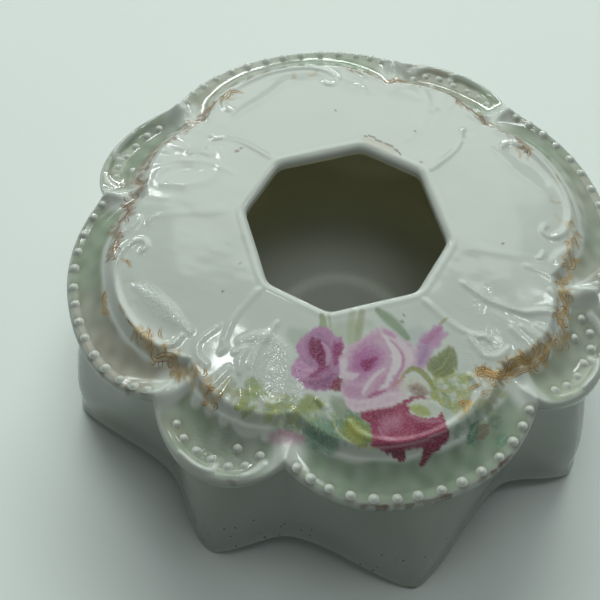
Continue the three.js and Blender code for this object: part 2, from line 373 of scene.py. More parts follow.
bigLobeStrands = {
    "scroll": (0.5, [(-12.2, 44.2, 0.75), (-11.3, 46.4, 0.85), (-9.4, 48.2, 0.85), (-6.5, 49.8, 0.85),
                     (-3.0, 50.6, 0.85), (0.5, 50.8, 0.85), (4.1, 50.4, 0.9), (8.3, 49.3, 0.95),
                     (11.7, 47.8, 1.0), (14.2, 46.0, 1.0), (15.3, 44.2, 0.9), (15.2, 42.3, 0.8),
                     (14.2, 40.6, 0.6)]),
    "smallHook": (0.42, [(-12.2, 44.4, 0.7), (-12.1, 42.8, 0.65), (-10.9, 41.8, 0.6), (-9.7, 42.0, 0.6),
                         (-9.0, 43.0, 0.65)]),
    "dish": (-0.26, [(3.5, 47.8, 1.2), (7.5, 46.3, 2.0), (11.2, 44.0, 2.0), (12.6, 42.6, 1.4)]),
    "dishRidge": (0.2, [(-1.0, 46.9, 0.8), (2.5, 44.5, 1.2), (6.0, 42.3, 1.3), (9.9, 40.7, 1.3),
                        (13.9, 38.8, 0.9)]),
    "creaseFar": (0.07, [(-12.4, 24.8, 1.4), (-15.2, 32.4, 1.2), (-16.4, 36.0, 0.9), (-16.8, 38.6, 0.6)]),
    "dropFar": (0.26, [(-16.9, 38.0, 0.5), (-16.5, 39.3, 0.65), (-15.6, 39.9, 0.5)]),
    "creaseNear": (0.2, [(10.2, 22.6, 0.8), (12.6, 26.6, 0.85), (15.4, 30.4, 0.75), (18.8, 32.8, 0.6)]),
    "dropNear": (0.3, [(18.6, 32.8, 0.5), (20.2, 33.2, 0.7), (20.8, 34.2, 0.5)]),
    "leafNear": (0.24, [(16.9, 46.8, 0.9), (17.6, 44.0, 1.2), (19.2, 41.8, 1.1)]),
    "leafFar": (0.2, [(-15.6, 46.4, 0.9), (-16.4, 43.8, 1.1), (-17.8, 41.8, 1.0)]),
}

# how deep the mould was pressed in at each small lobe: its fan of tongues, and the swirl over them
pressedIn = {
    "backRight": (0.25, 0.2),
    "backLeft": (0.24, 0.62),
    "frontLeft": (0.65, 1.0),
    "frontRight": (0.8, 0.1),
}

# the roses lie over these on the front lobe, where they hardly rise
frontLeavesOut = ("smallHook", "dish", "dishRidge", "leafFar")

swirlStrands = {
    "shellArch": (0.2, [(-5.2, 35.4, 1.0), (-2.8, 32.8, 1.2), (0.5, 31.9, 1.3), (4.0, 33.3, 1.3),
                        (6.7, 36.8, 1.2), (7.9, 40.6, 1.0)]),
    "innerHook": (0.24, [(-5.0, 38.0, 0.6), (-3.4, 36.2, 0.7), (-3.2, 39.0, 0.7), (-2.0, 41.2, 0.7)]),
    "spoonHollow": (-0.18, [(2.0, 36.4, 1.4), (3.2, 39.6, 1.9), (4.8, 42.2, 1.7)]),
    "spoonRim": (0.24, [(7.9, 40.2, 0.7), (8.6, 42.2, 0.85), (7.6, 43.9, 0.9), (5.9, 44.3, 0.85),
                        (4.0, 43.2, 0.7)]),
}

smallLobeStrands = {
    "shellSpine": (0.42, [(-0.6, 28.4, 0.7), (-1.0, 32.4, 0.9), (-1.1, 35.2, 0.85), (0.0, 40.0, 0.75),
                          (0.9, 42.4, 0.75), (2.9, 44.8, 0.85), (4.2, 46.6, 0.85), (3.8, 48.4, 0.7)]),
    "tongueHollow": (-0.36, [(-0.9, 40.6, 1.2), (-0.4, 44.0, 1.8), (0.8, 47.0, 1.8)]),
    "tongueLeft": (0.46, [(-4.3, 41.6, 0.9), (-5.2, 45.0, 1.1), (-6.6, 47.6, 1.4), (-7.3, 49.2, 1.4)]),
    "tongueMiddle": (0.42, [(-2.6, 43.2, 0.8), (-3.1, 47.0, 1.1), (-3.8, 49.6, 1.3)]),
    "tongueInner": (0.34, [(-0.5, 45.6, 0.8), (-0.4, 48.4, 1.1), (-0.3, 50.2, 1.2)]),
    "tongueTip": (0.34, [(2.2, 49.6, 1.1), (4.4, 50.0, 1.3), (6.4, 49.2, 1.2)]),
    "tongueRight": (0.36, [(8.9, 44.8, 0.9), (9.0, 46.8, 1.2), (8.6, 48.8, 1.3)]),
    "shellEdge": (0.28, [(-11.2, 35.0, 0.7), (-12.4, 37.4, 0.8), (-12.9, 39.8, 0.8), (-11.5, 41.9, 0.8),
                         (-8.8, 42.8, 0.7)]),
    "sideLeafRight": (0.22, [(11.4, 38.0, 0.8), (12.2, 41.2, 1.1), (12.4, 44.4, 1.2)]),
    "veinLeft": (-0.1, [(-5.6, 44.6, 0.4), (-7.0, 49.0, 0.5)]),
    "veinMiddle": (-0.1, [(-3.0, 45.0, 0.4), (-3.7, 49.6, 0.5)]),
}

notchStrands = {
    "notchRight": (0.95, [(11.0, 46.6, 1.2), (12.4, 49.0, 1.6), (13.9, 51.2, 1.7), (15.6, 53.4, 1.5)]),
    "notchLeft": (0.95, [(-10.6, 47.0, 1.2), (-12.1, 49.2, 1.6), (-13.7, 51.4, 1.7), (-15.6, 53.4, 1.5)]),
    "rimCurl": (0.5, [(-5.0, 59.5, 0.6), (-1.6, 60.2, 0.75), (1.0, 60.1, 0.75), (2.2, 59.2, 0.7),
                      (2.2, 58.2, 0.7)]),
    "rimBulb": (0.35, [(8.6, 57.8, 0.6), (10.1, 55.9, 0.7), (10.9, 53.9, 0.9)]),
}

lobeTurns = {"right": -0.5, "back": 1.7, "left": 2.7, "front": 0}
bigAngles = {"right": 0, "back": 90, "left": 180, "front": 270}
smallAngles = {"backRight": 45, "backLeft": 135, "frontLeft": 225, "frontRight": 315}


def smoothPath(points, samples):
    # a curve through the points, each given with any number of values
    points = np.array(points, float)
    padded = np.vstack([2 * points[0] - points[1], points, 2 * points[-1] - points[-2]])
    rows = []
    for k in range(len(points) - 1):
        a, b, c, d = padded[k:k + 4]
        for t in np.linspace(0, 1, samples, endpoint=False):
            rows.append(0.5 * (2 * b + (c - a) * t + (2 * a - 5 * b + 4 * c - d) * t * t
                               + (3 * b - a - 3 * c + d) * t ** 3))
    rows.append(points[-1])
    return np.array(rows)


def nearPath(x, y, path):
    # distance from each place to the path, in half widths of the path there
    best = np.full(x.shape, 9.0)
    width = np.zeros(x.shape)
    for (ax, ay, aw), (bx, by, bw) in zip(path, path[1:]):
        dx, dy = bx - ax, by - ay
        along = np.clip(((x - ax) * dx + (y - ay) * dy) / max(dx * dx + dy * dy, 1e-9), 0, 1)
        here = mix(aw, bw, along)
        away = np.hypot(x - ax - along * dx, y - ay - along * dy) / here
        nearer = away < best
        best = np.where(nearer, away, best)
        width = np.where(nearer, here, width)
    return best, width


# how a strand swells: its reach in half widths, its crown, and where it stands white
strandShape = {"reach": 1.7, "crown": 1.3, "taper": 0.6, "white": 1.25, "soft": 0.5}

# the map that one lobe's relief is worked out on, with the size of its cells
reliefMap = {"halfWidth": 30.0, "inner": 18.0, "outer": 66.0, "cell": 0.1}


def strandMap(strands):
    # one lobe's relief on a fine map: heights, and where strands stand in white
    shape = strandShape
    sideways = np.arange(-reliefMap["halfWidth"], reliefMap["halfWidth"], reliefMap["cell"])
    outwards = np.arange(reliefMap["inner"], reliefMap["outer"], reliefMap["cell"])
    raised = np.zeros((len(sideways), len(outwards)))
    sunk, white = np.zeros(raised.shape), np.zeros(raised.shape)
    for height, points in strands.values():
        path = smoothPath(points, 6)
        widest = path[:, 2].max()
        reach = shape["reach"] * widest
        low, high = path.min(0) - reach, path.max(0) + reach
        here = tuple(slice(*np.searchsorted(axis, (low[k], high[k])))
                     for k, axis in enumerate((sideways, outwards)))
        u, v = np.meshgrid(sideways[here[0]], outwards[here[1]], indexing="ij")
        away, width = nearPath(u, v, path)
        crown = np.exp(-shape["crown"] * away ** 2) * smooth((shape["reach"] - away) / shape["soft"])
        crown = crown * (width / widest) ** shape["taper"]
        if height > 0:
            raised[here] = (raised[here] ** 3 + (height * crown) ** 3) ** (1 / 3)
            white[here] = np.maximum(white[here], smooth((shape["white"] - away) / shape["soft"]))
        else:
            sunk[here] = np.maximum(sunk[here], -height * crown)
    return raised - sunk, white


def readMap(values, sideways, outwards):
    # blends the four nearest cells
    u = (sideways + reliefMap["halfWidth"]) / reliefMap["cell"]
    v = (outwards - reliefMap["inner"]) / reliefMap["cell"]
    inside = (u >= 0) & (v >= 0) & (u < values.shape[0] - 1) & (v < values.shape[1] - 1)
    u, v = np.where(inside, u, 0), np.where(inside, v, 0)
    i, j = u.astype(int), v.astype(int)
    u, v = u - i, v - j
    read = mix(mix(values[i, j], values[i + 1, j], u), mix(values[i, j + 1], values[i + 1, j + 1], u), v)
    return np.where(inside, read, 0)


bigMap = strandMap(bigLobeStrands)
backMap = strandMap({name: strand for name, strand in bigLobeStrands.items() if name != "dish"})
def without(strands, *leftOut):
    return {name: strand for name, strand in strands.items() if name not in leftOut}


frontMap = strandMap(without(bigLobeStrands, *frontLeavesOut))
fanMap, swirlMap, notchMap = strandMap(smallLobeStrands), strandMap(swirlStrands), strandMap(notchStrands)


def ripple(x, y, size, seed):
    # soft random field from -1 to 1, with patches of about the given size
    chance = random.Random(seed)
    total = 0
    for _ in range(6):
        turn, phase = chance.uniform(0, math.tau), chance.uniform(0, math.tau)
        pace = math.tau / size * chance.uniform(0.6, 1.5)
        total = total + np.sin((x * math.cos(turn) + y * math.sin(turn)) * pace + phase)
    return total / 3.2


def lobeFrame(x, y, angle):
    turn = math.radians(angle)
    return y * math.cos(turn) - x * math.sin(turn), x * math.cos(turn) + y * math.sin(turn)


# the pressed clay isn't quite even: height, size and seed of its waves
clayWaves = [(0.03, 10, 21), (0.008, 3.6, 22)]


def reliefAt(x, y):
    # relief height, and the share of white left where a strand stands up
    height = sum(tall * ripple(x, y, size, seed) for tall, size, seed in clayWaves)
    white = np.zeros(x.shape)
    maps = {"front": frontMap, "back": backMap}
    lobes = [(angle + lobeTurns[name], maps.get(name, bigMap), 1) for name, angle in bigAngles.items()]
    for name, angle in smallAngles.items():
        fanDepth, swirlDepth = pressedIn[name]
        lobes += [(angle, fanMap, fanDepth), (angle, swirlMap, swirlDepth), (angle, notchMap, 1)]
    for angle, (heights, whites), depth in lobes:
        u, v = lobeFrame(x, y, angle)
        height = height + depth * readMap(heights, u, v)
        white = np.maximum(white, readMap(whites, u, v))
    return height, white


def lidSurface(x, y):
    # height of the finished top of the lid at places on it
    angle = np.degrees(np.arctan2(y, x))
    return topHeight(angle, np.hypot(x, y)) + reliefAt(x, y)[0]


# Meshes: a flat grid is bent round, one row for each place of the profile

def vertexPlaces(data):
    places = np.zeros(len(data.vertices) * 3)
    data.vertices.foreach_get("co", places)
    return places.reshape(-1, 3)


def storeLayer(data, name, colour, alpha=None):
    # a colour or a grey for each vertex, and a fourth value, which a material reads by the layer's name
    if colour.ndim == 1:
        colour = np.stack([colour] * 3, 1)
    attribute = data.color_attributes.new(name, "FLOAT_COLOR", "POINT")
    alpha = np.ones(len(colour)) if alpha is None else alpha
    attribute.data.foreach_set("color", np.column_stack([colour, alpha]).ravel())


def gridRows(name, rowCount, steps):
    form = bmesh.new()
    bmesh.ops.create_grid(form, x_segments=rowCount - 1, y_segments=steps, size=0.5)
    data = meshFrom(form, name)
    places = vertexPlaces(data)
    rows = np.rint((places[:, 0] + 0.5) * (rowCount - 1)).astype(int)
    return data, rows, np.rint((places[:, 1] + 0.5) * steps) % steps * 360 / steps


def finishMesh(data, places):
    # puts the vertices in place, closes seams and poles and turns the faces outward
    data.vertices.foreach_set("co", (places * mm).ravel())
    form = bmesh.new()
    form.from_mesh(data)
    bmesh.ops.remove_doubles(form, verts=form.verts, dist=0.002 * mm)
    bmesh.ops.recalc_face_normals(form, faces=form.faces)
    for face in form.faces:
        face.smooth = True
    form.to_mesh(data)
    form.free()
    data.update()


def roundPlaces(angle, radius, height):
    turn = np.radians(angle)
    return np.stack([radius * np.cos(turn), radius * np.sin(turn), height], 1)


def addPiece(data, body, material, replaced=None):
    piece = bpy.data.objects.new(data.name, data)
    scene.collection.objects.link(piece)
    data.materials.append(material)
    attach(piece, body)
    if replaced:
        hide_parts(replaced)


# Lid

lidMesh = {
    "steps": 690,
    "denserFront": 0.3,
    "reliefStart": 29.0,
    "rows": {"hole": 9, "lip": 7, "plainDome": 9, "relief": 56, "slope": 8, "field": 18, "rim": 12, "edge": 5,
             "under": 4, "flangeOut": 3, "flangeFoot": 4, "flangeIn": 3, "domeUnder": 6},
}


def lidRows():
    # the rows from the foot of the hole over the top to the edge, and back along the underside
    return [(zone, (k + 0.5) / count if zone in ("edge", "under") else k / count)
            for zone, count in lidMesh["rows"].items() for k in range(count)]


def lidPlaces(rows, angle):
    form = lidForm
    radius, height = np.zeros(len(rows)), np.zeros(len(rows))
    straight, last = form["holeStraightShare"], math.radians(form["lastRoll"])
    flangeRadius, flangeRound, edgeRound = form["flangeRadius"], form["flangeRound"], form["edgeRound"]
    flangeInner = flangeRadius - form["flangeThickness"]
    flangeFoot = form["height"] - form["flangeDrop"]
    for index, (zone, share) in enumerate(lidRows()):
        chosen = rows == index
        a = angle[chosen]
        hole, border = holeAt(a), borderAt(a)
        crest = border - form["borderWidth"]
        edgeRadius, edgeHeight = edgeAt(a)
        rimFoot = edgeRadius - form["rimWidth"]
        domeStart = hole + form["lipWidth"]
        reliefStart = np.maximum(lidMesh["reliefStart"], domeStart + 1)
        eased = math.pi / 2 * share
        onTop = {"lip": (hole, domeStart), "plainDome": (domeStart, reliefStart),
                 "relief": (reliefStart, crest), "slope": (crest, border), "field": (border, rimFoot),
                 "rim": (rimFoot, edgeRadius)}
        if zone in onTop:
            r = mix(*onTop[zone], math.sin(eased) if zone == "rim" else share)
            turn = np.radians(a)
            z = topHeight(a, r) + reliefAt(r * np.cos(turn), r * np.sin(turn))[0]
        elif zone == "hole":
            roll = last * max(share - straight, 0) / (1 - straight)
            r = hole - form["holeTaper"] * (math.cos(roll) - math.cos(last)) / (1 - math.cos(last))
            rolled = form["holeRoll"] * (1 - math.sin(roll) / math.sin(last))
            below = form["holeWall"] - form["lipFall"] - form["holeRoll"]
            z = form["height"] - form["lipFall"] - rolled - below * max(1 - share / straight, 0)
        elif zone == "edge":
            thickness = mix(form["edgeThickness"], form["pocketEdgeThickness"], lobePlan(a)[1])
            r = edgeRadius - edgeRound * (1 - math.cos(eased))
            z = edgeHeight - edgeRound - (thickness - edgeRound) * math.sin(eased)
        elif zone == "under":
            r = mix(edgeRadius - edgeRound, flangeRadius, share)
            z = underHeight(a, r)
        elif zone == "flangeOut":
            r = np.full(a.shape, flangeRadius)
            z = mix(underHeight(a, r), flangeFoot + flangeRound, share)
        elif zone == "flangeFoot":
            r = mix(flangeRadius, flangeInner, share)
            z = flangeFoot + flangeRound * (1 - math.sin(math.pi * share))
        elif zone == "flangeIn":
            r = np.full(a.shape, flangeInner)
            z = mix(flangeFoot + flangeRound, domeHeight(a, r) - form["wall"] - flangeRound, share)
        else:
            r = mix(np.minimum(flangeInner, crest), hole - form["holeTaper"], share)
            z = domeHeight(a, r) - form["wall"] - flangeRound * (1 - share) ** 6
            z = mix(z, form["height"] - form["holeWall"], share ** 2)
        radius[chosen], height[chosen] = r, z
    return roundPlaces(angle, radius, height)


def makeLidMesh():
    # its steps lie closer together at the front, where the roses are
    count = len(lidRows())
    data, rows, angle = gridRows("lid_shell", count + 1, lidMesh["steps"])
    angle = angle + math.degrees(lidMesh["denserFront"]) * np.sin(np.radians(angle - 90))
    finishMesh(data, lidPlaces(rows % count, angle))
    return data


# Bowl

bowlForm = {
    "wall": 3.0,
    "feet": [(-90.7, 64.0), (-47.0, 63.4), (0, 64.0), (45, 62.2), (90, 64.0), (135, 62.2), (179.2, 64.0),
             (225.6, 61.0), (269.3, 64.0)],
    "footSoftness": 0.05,
    "notchShare": 0.61,
    "scallopRadius": 53.6,
    "bigScallopPower": 0.56,
    "smallScallopPower": 0.8,
    "archHeight": 6.2,
    "archPower": 0.34,
    "skirtRound": 0.6,
    "skirtFlatShare": 0.4,
    "mouthRound": 0.6,
    "floorLift": 0.2,
    "floorThickness": 2.2,
    "floorFillet": 5.0,
    "filletShare": 0.3,
    "ringRadius": 15.7,
    "ringWidth": 2.0,
    "ringHeight": 0.35,
    "hemDepth": 0.4,
    "hemHeight": 2.4,
    "hemFade": 9.0,
    "steps": 600,
    "rows": {"floor": 42, "inside": 26, "mouth": 6, "wall": 44, "skirt": 5, "underSkirt": 6, "under": 4},
}


def skirtAt(angle):
    # the lower edge: its foot reaches out, and between two feet it is drawn in and arched up,
    # most at the notch of the lobes
    form = bowlForm
    first, soft = form["feet"][0][0], form["footSoftness"]
    angle = (angle - first) % 360 + first
    radius, height = np.zeros(angle.shape), np.zeros(angle.shape)
    for index, ((start, startReach), (end, endReach)) in enumerate(zip(form["feet"], form["feet"][1:])):
        chosen = (angle >= start) & (angle <= end)
        share = (angle[chosen] - start) / (end - start)
        reaches = (startReach, endReach)
        if index % 2:
            share, reaches = 1 - share, (endReach, startReach)
        big = share <= form["notchShare"]
        near = np.where(big, share / form["notchShare"], (1 - share) / (1 - form["notchShare"]))
        near = np.sqrt(near ** 2 + soft ** 2 * (1 - near)) - soft * (1 - near)
        wave = (1 - np.cos(np.pi * near)) / 2
        drawnIn = wave ** np.where(big, form["bigScallopPower"], form["smallScallopPower"])
        radius[chosen] = mix(np.where(big, *reaches), form["scallopRadius"], drawnIn)
        height[chosen] = form["archHeight"] * wave ** form["archPower"]
    return radius, height


def wallAt(angle, z):
    # outer radius of the wall: widest at the foot, with a shallow hem above it
    form = bowlForm
    skirtRadius, skirtHeight = skirtAt(angle)
    mouth = mouthAt(angle)
    top = underHeight(angle, mouth) - lidForm["seatGap"]
    foot = skirtHeight + form["skirtRound"]
    above = z - foot
    hem = smooth(above / form["hemHeight"]) * (1 - smooth((above - form["hemHeight"]) / form["hemFade"]))
    bend = 1 - np.clip(above / (top - foot), 0, 1) ** 2
    return mouth + (skirtRadius - mouth) * bend - form["hemDepth"] * hem


def bowlRows():
    # the rows from the middle of the floor over the mouth to the feet, and back under the floor
    rows = [(zone, k / count) for zone, count in bowlForm["rows"].items() for k in range(count)]
    return rows + [("under", 1.0)]


def bowlPlaces(rows, angle):
    form = bowlForm
    radius, height = np.zeros(len(rows)), np.zeros(len(rows))
    fillet, mouthRound, skirtRound = form["floorFillet"], form["mouthRound"], form["skirtRound"]
    filletShare, flatShare = form["filletShare"], form["skirtFlatShare"]
    underFloor = form["archHeight"] + form["floorLift"]
    floor = underFloor + form["floorThickness"]
    for index, (zone, share) in enumerate(bowlRows()):
        chosen = rows == index
        a = angle[chosen]
        skirtRadius, skirtHeight = skirtAt(a)
        foot = skirtHeight + skirtRound
        mouth = mouthAt(a)
        top = underHeight(a, mouth) - lidForm["seatGap"]
        bend = wallAt(a, floor + fillet) - form["wall"]
        inner = wallAt(a, underFloor) - form["wall"]
        eased = math.pi / 2 * share
        if zone == "floor":
            r = (bend - fillet) * share
            ring = np.maximum(1 - ((r - form["ringRadius"]) / (form["ringWidth"] / 2)) ** 2, 0)
            z = floor + form["ringHeight"] * ring
        elif zone == "inside" and share < filletShare:
            r = bend - fillet * (1 - math.sin(eased / filletShare))
            z = floor + fillet * (1 - math.cos(eased / filletShare))
        elif zone == "inside":
            z = mix(floor + fillet, top - mouthRound, (share - filletShare) / (1 - filletShare))
            r = wallAt(a, z) - form["wall"]
        elif zone == "mouth":
            r = mouth - form["wall"] * (1 + math.cos(math.pi * share)) / 2
            under = underHeight(a, r)
            z = top - mouthRound * (1 - math.sin(math.pi * share)) + under - underHeight(a, mouth)
            z = np.minimum(z, under - lidForm["seatGap"])
        elif zone == "wall":
            z = mix(top - mouthRound, foot, share)
            r = wallAt(a, z)
        elif zone == "skirt":
            r = skirtRadius - skirtRound * (1 - math.cos(eased))
            z = foot - skirtRound * math.sin(eased)
        elif zone == "underSkirt":
            r = mix(skirtRadius - skirtRound, inner, share)
            z = mix(skirtHeight, underFloor, smooth((share - flatShare) / (1 - flatShare)))
        else:
            r, z = inner * (1 - share), underFloor
        radius[chosen], height[chosen] = r, z
    return roundPlaces(angle, radius, height)


def makeBowlMesh():
    data, rows, angle = gridRows("bowl_shell", len(bowlRows()), bowlForm["steps"])
    finishMesh(data, bowlPlaces(rows, angle))
    return data


# Beads along the edges

beadSizes = {
    "radius": 1.1,
    "rise": 0.68,
    "inset": 1.6,
    "places": [-26.2, -23.0, -19.2, -15.0, -10.7, -6.4, -2.1, 2.3, 6.7, 11.1, 15.4, 19.6, 23.2, 26.4],
    "placeSlack": 0.25,
    "pocketRadius": 0.98,
    "pocketRise": 0.56,
    "pocketPlaces": [(-9.0, 54.6), (-6.3, 56.3), (-2.8, 57.2), (0.8, 57.2), (4.6, 57.1), (7.6, 55.5),
                     (9.4, 52.6), (4.6, 53.2)],
    "scales": (0.88, 1.08),
    "domePower": 1.35,
    "sunk": 0.3,
    "around": 18,
    "rings": 14,
}


def surfaceNormals(x, y, apart=0.5):
    slopes = [(lidSurface(x + dx, y + dy) - lidSurface(x - dx, y - dy)) / (2 * apart)
              for dx, dy in ((apart, 0), (0, apart))]
    return np.stack([-slopes[0], -slopes[1], np.ones(x.shape)], 1)


def beadSpots():
    # each bead: place, radius and rise
    chance = random.Random(5)
    size = beadSizes
    spots = []
    for angle in bigAngles.values():
        for place in size["places"]:
            at = angle + place + chance.uniform(-size["placeSlack"], size["placeSlack"])
            reach = edgeAt(np.array([at]))[0][0] - size["inset"]
            turn = math.radians(at)
            spots.append((reach * math.cos(turn), reach * math.sin(turn), size["radius"], size["rise"]))
    for angle in smallAngles.values():
        turn = math.radians(angle)
        for sideways, outwards in size["pocketPlaces"]:
            x = outwards * math.cos(turn) - sideways * math.sin(turn)
            y = outwards * math.sin(turn) + sideways * math.cos(turn)
            spots.append((x, y, size["pocketRadius"], size["pocketRise"]))
    return spots


def makeBeads():
    # low domes whose foot flows out into the glaze
    chance = random.Random(6)
    size = beadSizes
    x, y, radii, rises = np.array(beadSpots()).T
    places = np.stack([x, y, lidSurface(x, y)], 1)
    form = bmesh.new()
    for place, normal, radius, rise in zip(places, surfaceNormals(x, y), radii, rises):
        scale = chance.uniform(*size["scales"])
        upright = Vector(normal).to_track_quat("Z", "Y").to_matrix().to_4x4()
        made = bmesh.ops.create_uvsphere(form, u_segments=size["around"], v_segments=size["rings"], radius=1)
        for vertex in made["verts"]:
            out = math.hypot(vertex.co.x, vertex.co.y)
            dome = rise * scale * (1 - min(out, 1) ** 2) ** size["domePower"]
            lift = dome if vertex.co.z > 0.001 else size["sunk"] * vertex.co.z
            spread = Vector((vertex.co.x * radius * scale, vertex.co.y * radius * scale, lift))
            vertex.co = (Vector(place) + upright @ spread) * mm
    for face in form.faces:
        face.smooth = True
    return meshFrom(form, "lid_beads")


# Gilding: fine printed lines, side by side, each a flattened tube on the surface

gildSizes = {
    "points": 20,
    "lineWidth": 0.1,
    "lift": 0.035,
    "edgeLift": 0.01,
    "sunk": 0.1,
    "unitLength": 4.4,
    "unitSpacing": (0.8, 1.05),
    "unitScales": (0.75, 1.1),
    "strokesLost": 0.12,
    "lineShare": 0.62,
    "starts": (0, 0.3),
    "ends": (0.62, 1),
    "swells": (0.6, 1.15),
    "wander": 0.25,
    "frontTones": (0.35, 0.75),
    "backTones": (0.1, 0.4),
    "leafTone": 0.9,
    "markTone": 0.55,
    "bandTone": 0.5,
    "heartTone": 0.25,
    "lineTones": ("#6d564b", "#d0a45a"),
    "roughness": 0.34,
    "washWidth": 1.5,
    "washWave": 0.55,
    "washPace": 0.62,
    "washArea": (33, 36, 55),
    "washFront": {"tones": ("#a58a5e", "#c9aa6c"), "wash": 0.5, "stroke": 0.66},
    "washBack": {"tones": ("#86705f", "#a9917a"), "wash": 0.36, "stroke": 0.68},
    "frontTone": 0.34,
    "seed": 12,
}

# one unit of the scroll border: number of lines, then places (along, outwards, spread) in millimetres
gildUnit = [
    (3, [(-3.3, -0.8, 0.1), (-2.2, 0.3, 0.5), (-0.7, 0.8, 0.62), (0.9, 0.1, 0.62), (2.0, -0.8, 0.5),
         (3.0, -0.7, 0.35), (3.3, 0.1, 0.25), (2.6, 0.4, 0.1)]),
    (1, [(-3.2, -0.9, 0.1), (-3.9, -0.5, 0.2), (-3.7, 0.5, 0.2), (-2.9, 0.6, 0.15), (-2.8, -0.1, 0.1)]),
    (2, [(-1.3, 0.8, 0.1), (-1.9, 1.6, 0.35), (-1.5, 2.5, 0.1)]),
    (2, [(-0.4, 0.9, 0.1), (-0.3, 1.8, 0.35), (0.5, 2.4, 0.1)]),
    (1, [(0.6, 0.5, 0.1), (1.2, 1.3, 0.3), (2.0, 1.5, 0.1)]),
    (2, [(0.9, -0.2, 0.1), (0.6, -1.2, 0.35), (-0.3, -1.8, 0.1)]),
    (1, [(1.8, -0.9, 0.1), (1.8, -1.8, 0.3), (2.6, -2.3, 0.1)]),
]

# where the border runs past each small lobe: sideways, outwards
gildRoutes = {
    "frontLeft": [(-26.0, 42.4), (-20.8, 44.3), (-15.9, 45.2), (-10.1, 45.6), (-5.5, 47.6), (-3.6, 48.0),
                  (-2.6, 45.6)],
    "frontRight": [(-17.6, 40.7), (-14.8, 43.2), (-10.9, 45.3), (-7.0, 47.7), (-3.4, 49.8), (1.8, 50.8),
                   (4.6, 49.4), (8.4, 48.2), (12.4, 46.6), (18.1, 45.3), (23.4, 44.0), (28.2, 41.4)],
    "backRight": [(-25.0, 42.8), (-20.0, 44.4), (-15.0, 45.6), (-10.2, 46.0), (-5.5, 48.0), (-1.8, 50.0),
                  (2.2, 50.4), (6.4, 49.0), (11.0, 46.8), (16.0, 45.6), (23.0, 44.0)],
    "backLeft": [(-23.0, 43.4), (-18.0, 45.0), (-12.6, 45.9), (-7.6, 47.2), (-2.4, 50.0), (2.2, 50.4),
                 (6.4, 49.0), (11.0, 46.8), (16.0, 45.6), (21.0, 44.6), (26.0, 42.8), (30.0, 40.2)],
}

# short strokes inside the C scrolls, and along their crests
gildMarks = [
    (2, [(13.4, 47.0, 0.1), (11.6, 46.8, 0.3), (10.2, 45.8, 0.1)]),
    (2, [(13.4, 44.4, 0.1), (12.0, 44.8, 0.28), (10.8, 44.2, 0.1)]),
    (2, [(-8.6, 47.6, 0.1), (-7.6, 46.6, 0.25), (-6.2, 46.4, 0.1)]),
    (1, [(-3.2, 48.8, 0.1), (-3.0, 47.4, 0.2), (-2.4, 46.6, 0.1)]),
    (1, [(9.0, 49.2, 0.1), (7.2, 49.9, 0.1), (5.8, 50.3, 0.1)]),
    (1, [(4.6, 50.5, 0.1), (3.2, 50.8, 0.1), (2.2, 50.9, 0.1)]),
]

# on the front lobe: a gold leaf that catches the light, and a plume beside it
gildFront = [
    (4, [(14.4, -41.2, 0.1), (16.4, -40.6, 0.5), (18.6, -41.2, 0.6), (20.4, -41.6, 0.4),
         (22.4, -40.4, 0.1)]),
    (3, [(15.3, -39.8, 0.1), (16.8, -39.6, 0.35), (18.6, -40.3, 0.3), (20.4, -41.4, 0.1)]),
    (4, [(20.6, -41.8, 0.1), (22.6, -40.8, 0.5), (24.6, -40.2, 0.4), (26.4, -39.8, 0.1)]),
    (3, [(22.4, -41.9, 0.1), (24.8, -41.2, 0.35), (27.5, -40.6, 0.3), (29.6, -40.0, 0.1)]),
    (2, [(17.6, -43.6, 0.1), (19.0, -43.4, 0.3), (19.4, -42.2, 0.1)]),
    (2, [(26.2, -37.2, 0.1), (26.6, -38.4, 0.35), (27.6, -39.2, 0.1)]),
    (2, [(29.8, -36.6, 0.1), (29.2, -37.8, 0.35), (28.4, -38.8, 0.1)]),
    (4, [(12.4, -45.0, 0.1), (11.6, -46.4, 0.5), (10.8, -47.8, 0.45), (9.4, -48.6, 0.1)]),
    (3, [(12.2, -45.2, 0.1), (12.6, -46.6, 0.4), (12.0, -48.0, 0.1)]),
    (3, [(12.0, -45.2, 0.1), (10.8, -45.6, 0.4), (9.8, -46.6, 0.1)]),
    (2, [(13.0, -43.8, 0.1), (14.2, -43.0, 0.35), (15.8, -43.0, 0.1)]),
    (3, [(14.8, -45.6, 0.1), (16.2, -44.8, 0.5), (18.0, -44.8, 0.1)]),
]

# on the left lobe: two leaves in the tinted band
gildBand = [
    (4, [(-1.6, 52.6, 0.1), (0.2, 53.6, 0.6), (1.8, 53.2, 0.1)]),
    (3, [(1.2, 53.8, 0.1), (2.8, 54.2, 0.5), (4.2, 53.4, 0.1)]),
]


def lobeStroke(points, angle):
    # places in a lobe's own frame, turned to places on the lid
    c, s = math.cos(math.radians(angle)), math.sin(math.radians(angle))
    return [(v * c - u * s, v * s + u * c, w) for u, v, w in points]


def bentStroke(places, lengths, points, offset, flip, scale):
    # a stroke of the unit, laid along the route
    def routeAt(far):
        return np.array([np.interp(far, lengths, places[:, k]) for k in range(2)])

    placed = []
    for along, out, spread in points:
        far = offset + along * scale * flip[0]
        u, v = routeAt(far)
        du, dv = routeAt(far + 1) - routeAt(far - 1)
        away = out * scale * flip[1] / max(math.hypot(du, dv), 1e-6)
        placed.append((u - dv * away, v + du * away, spread * scale))
    return placed


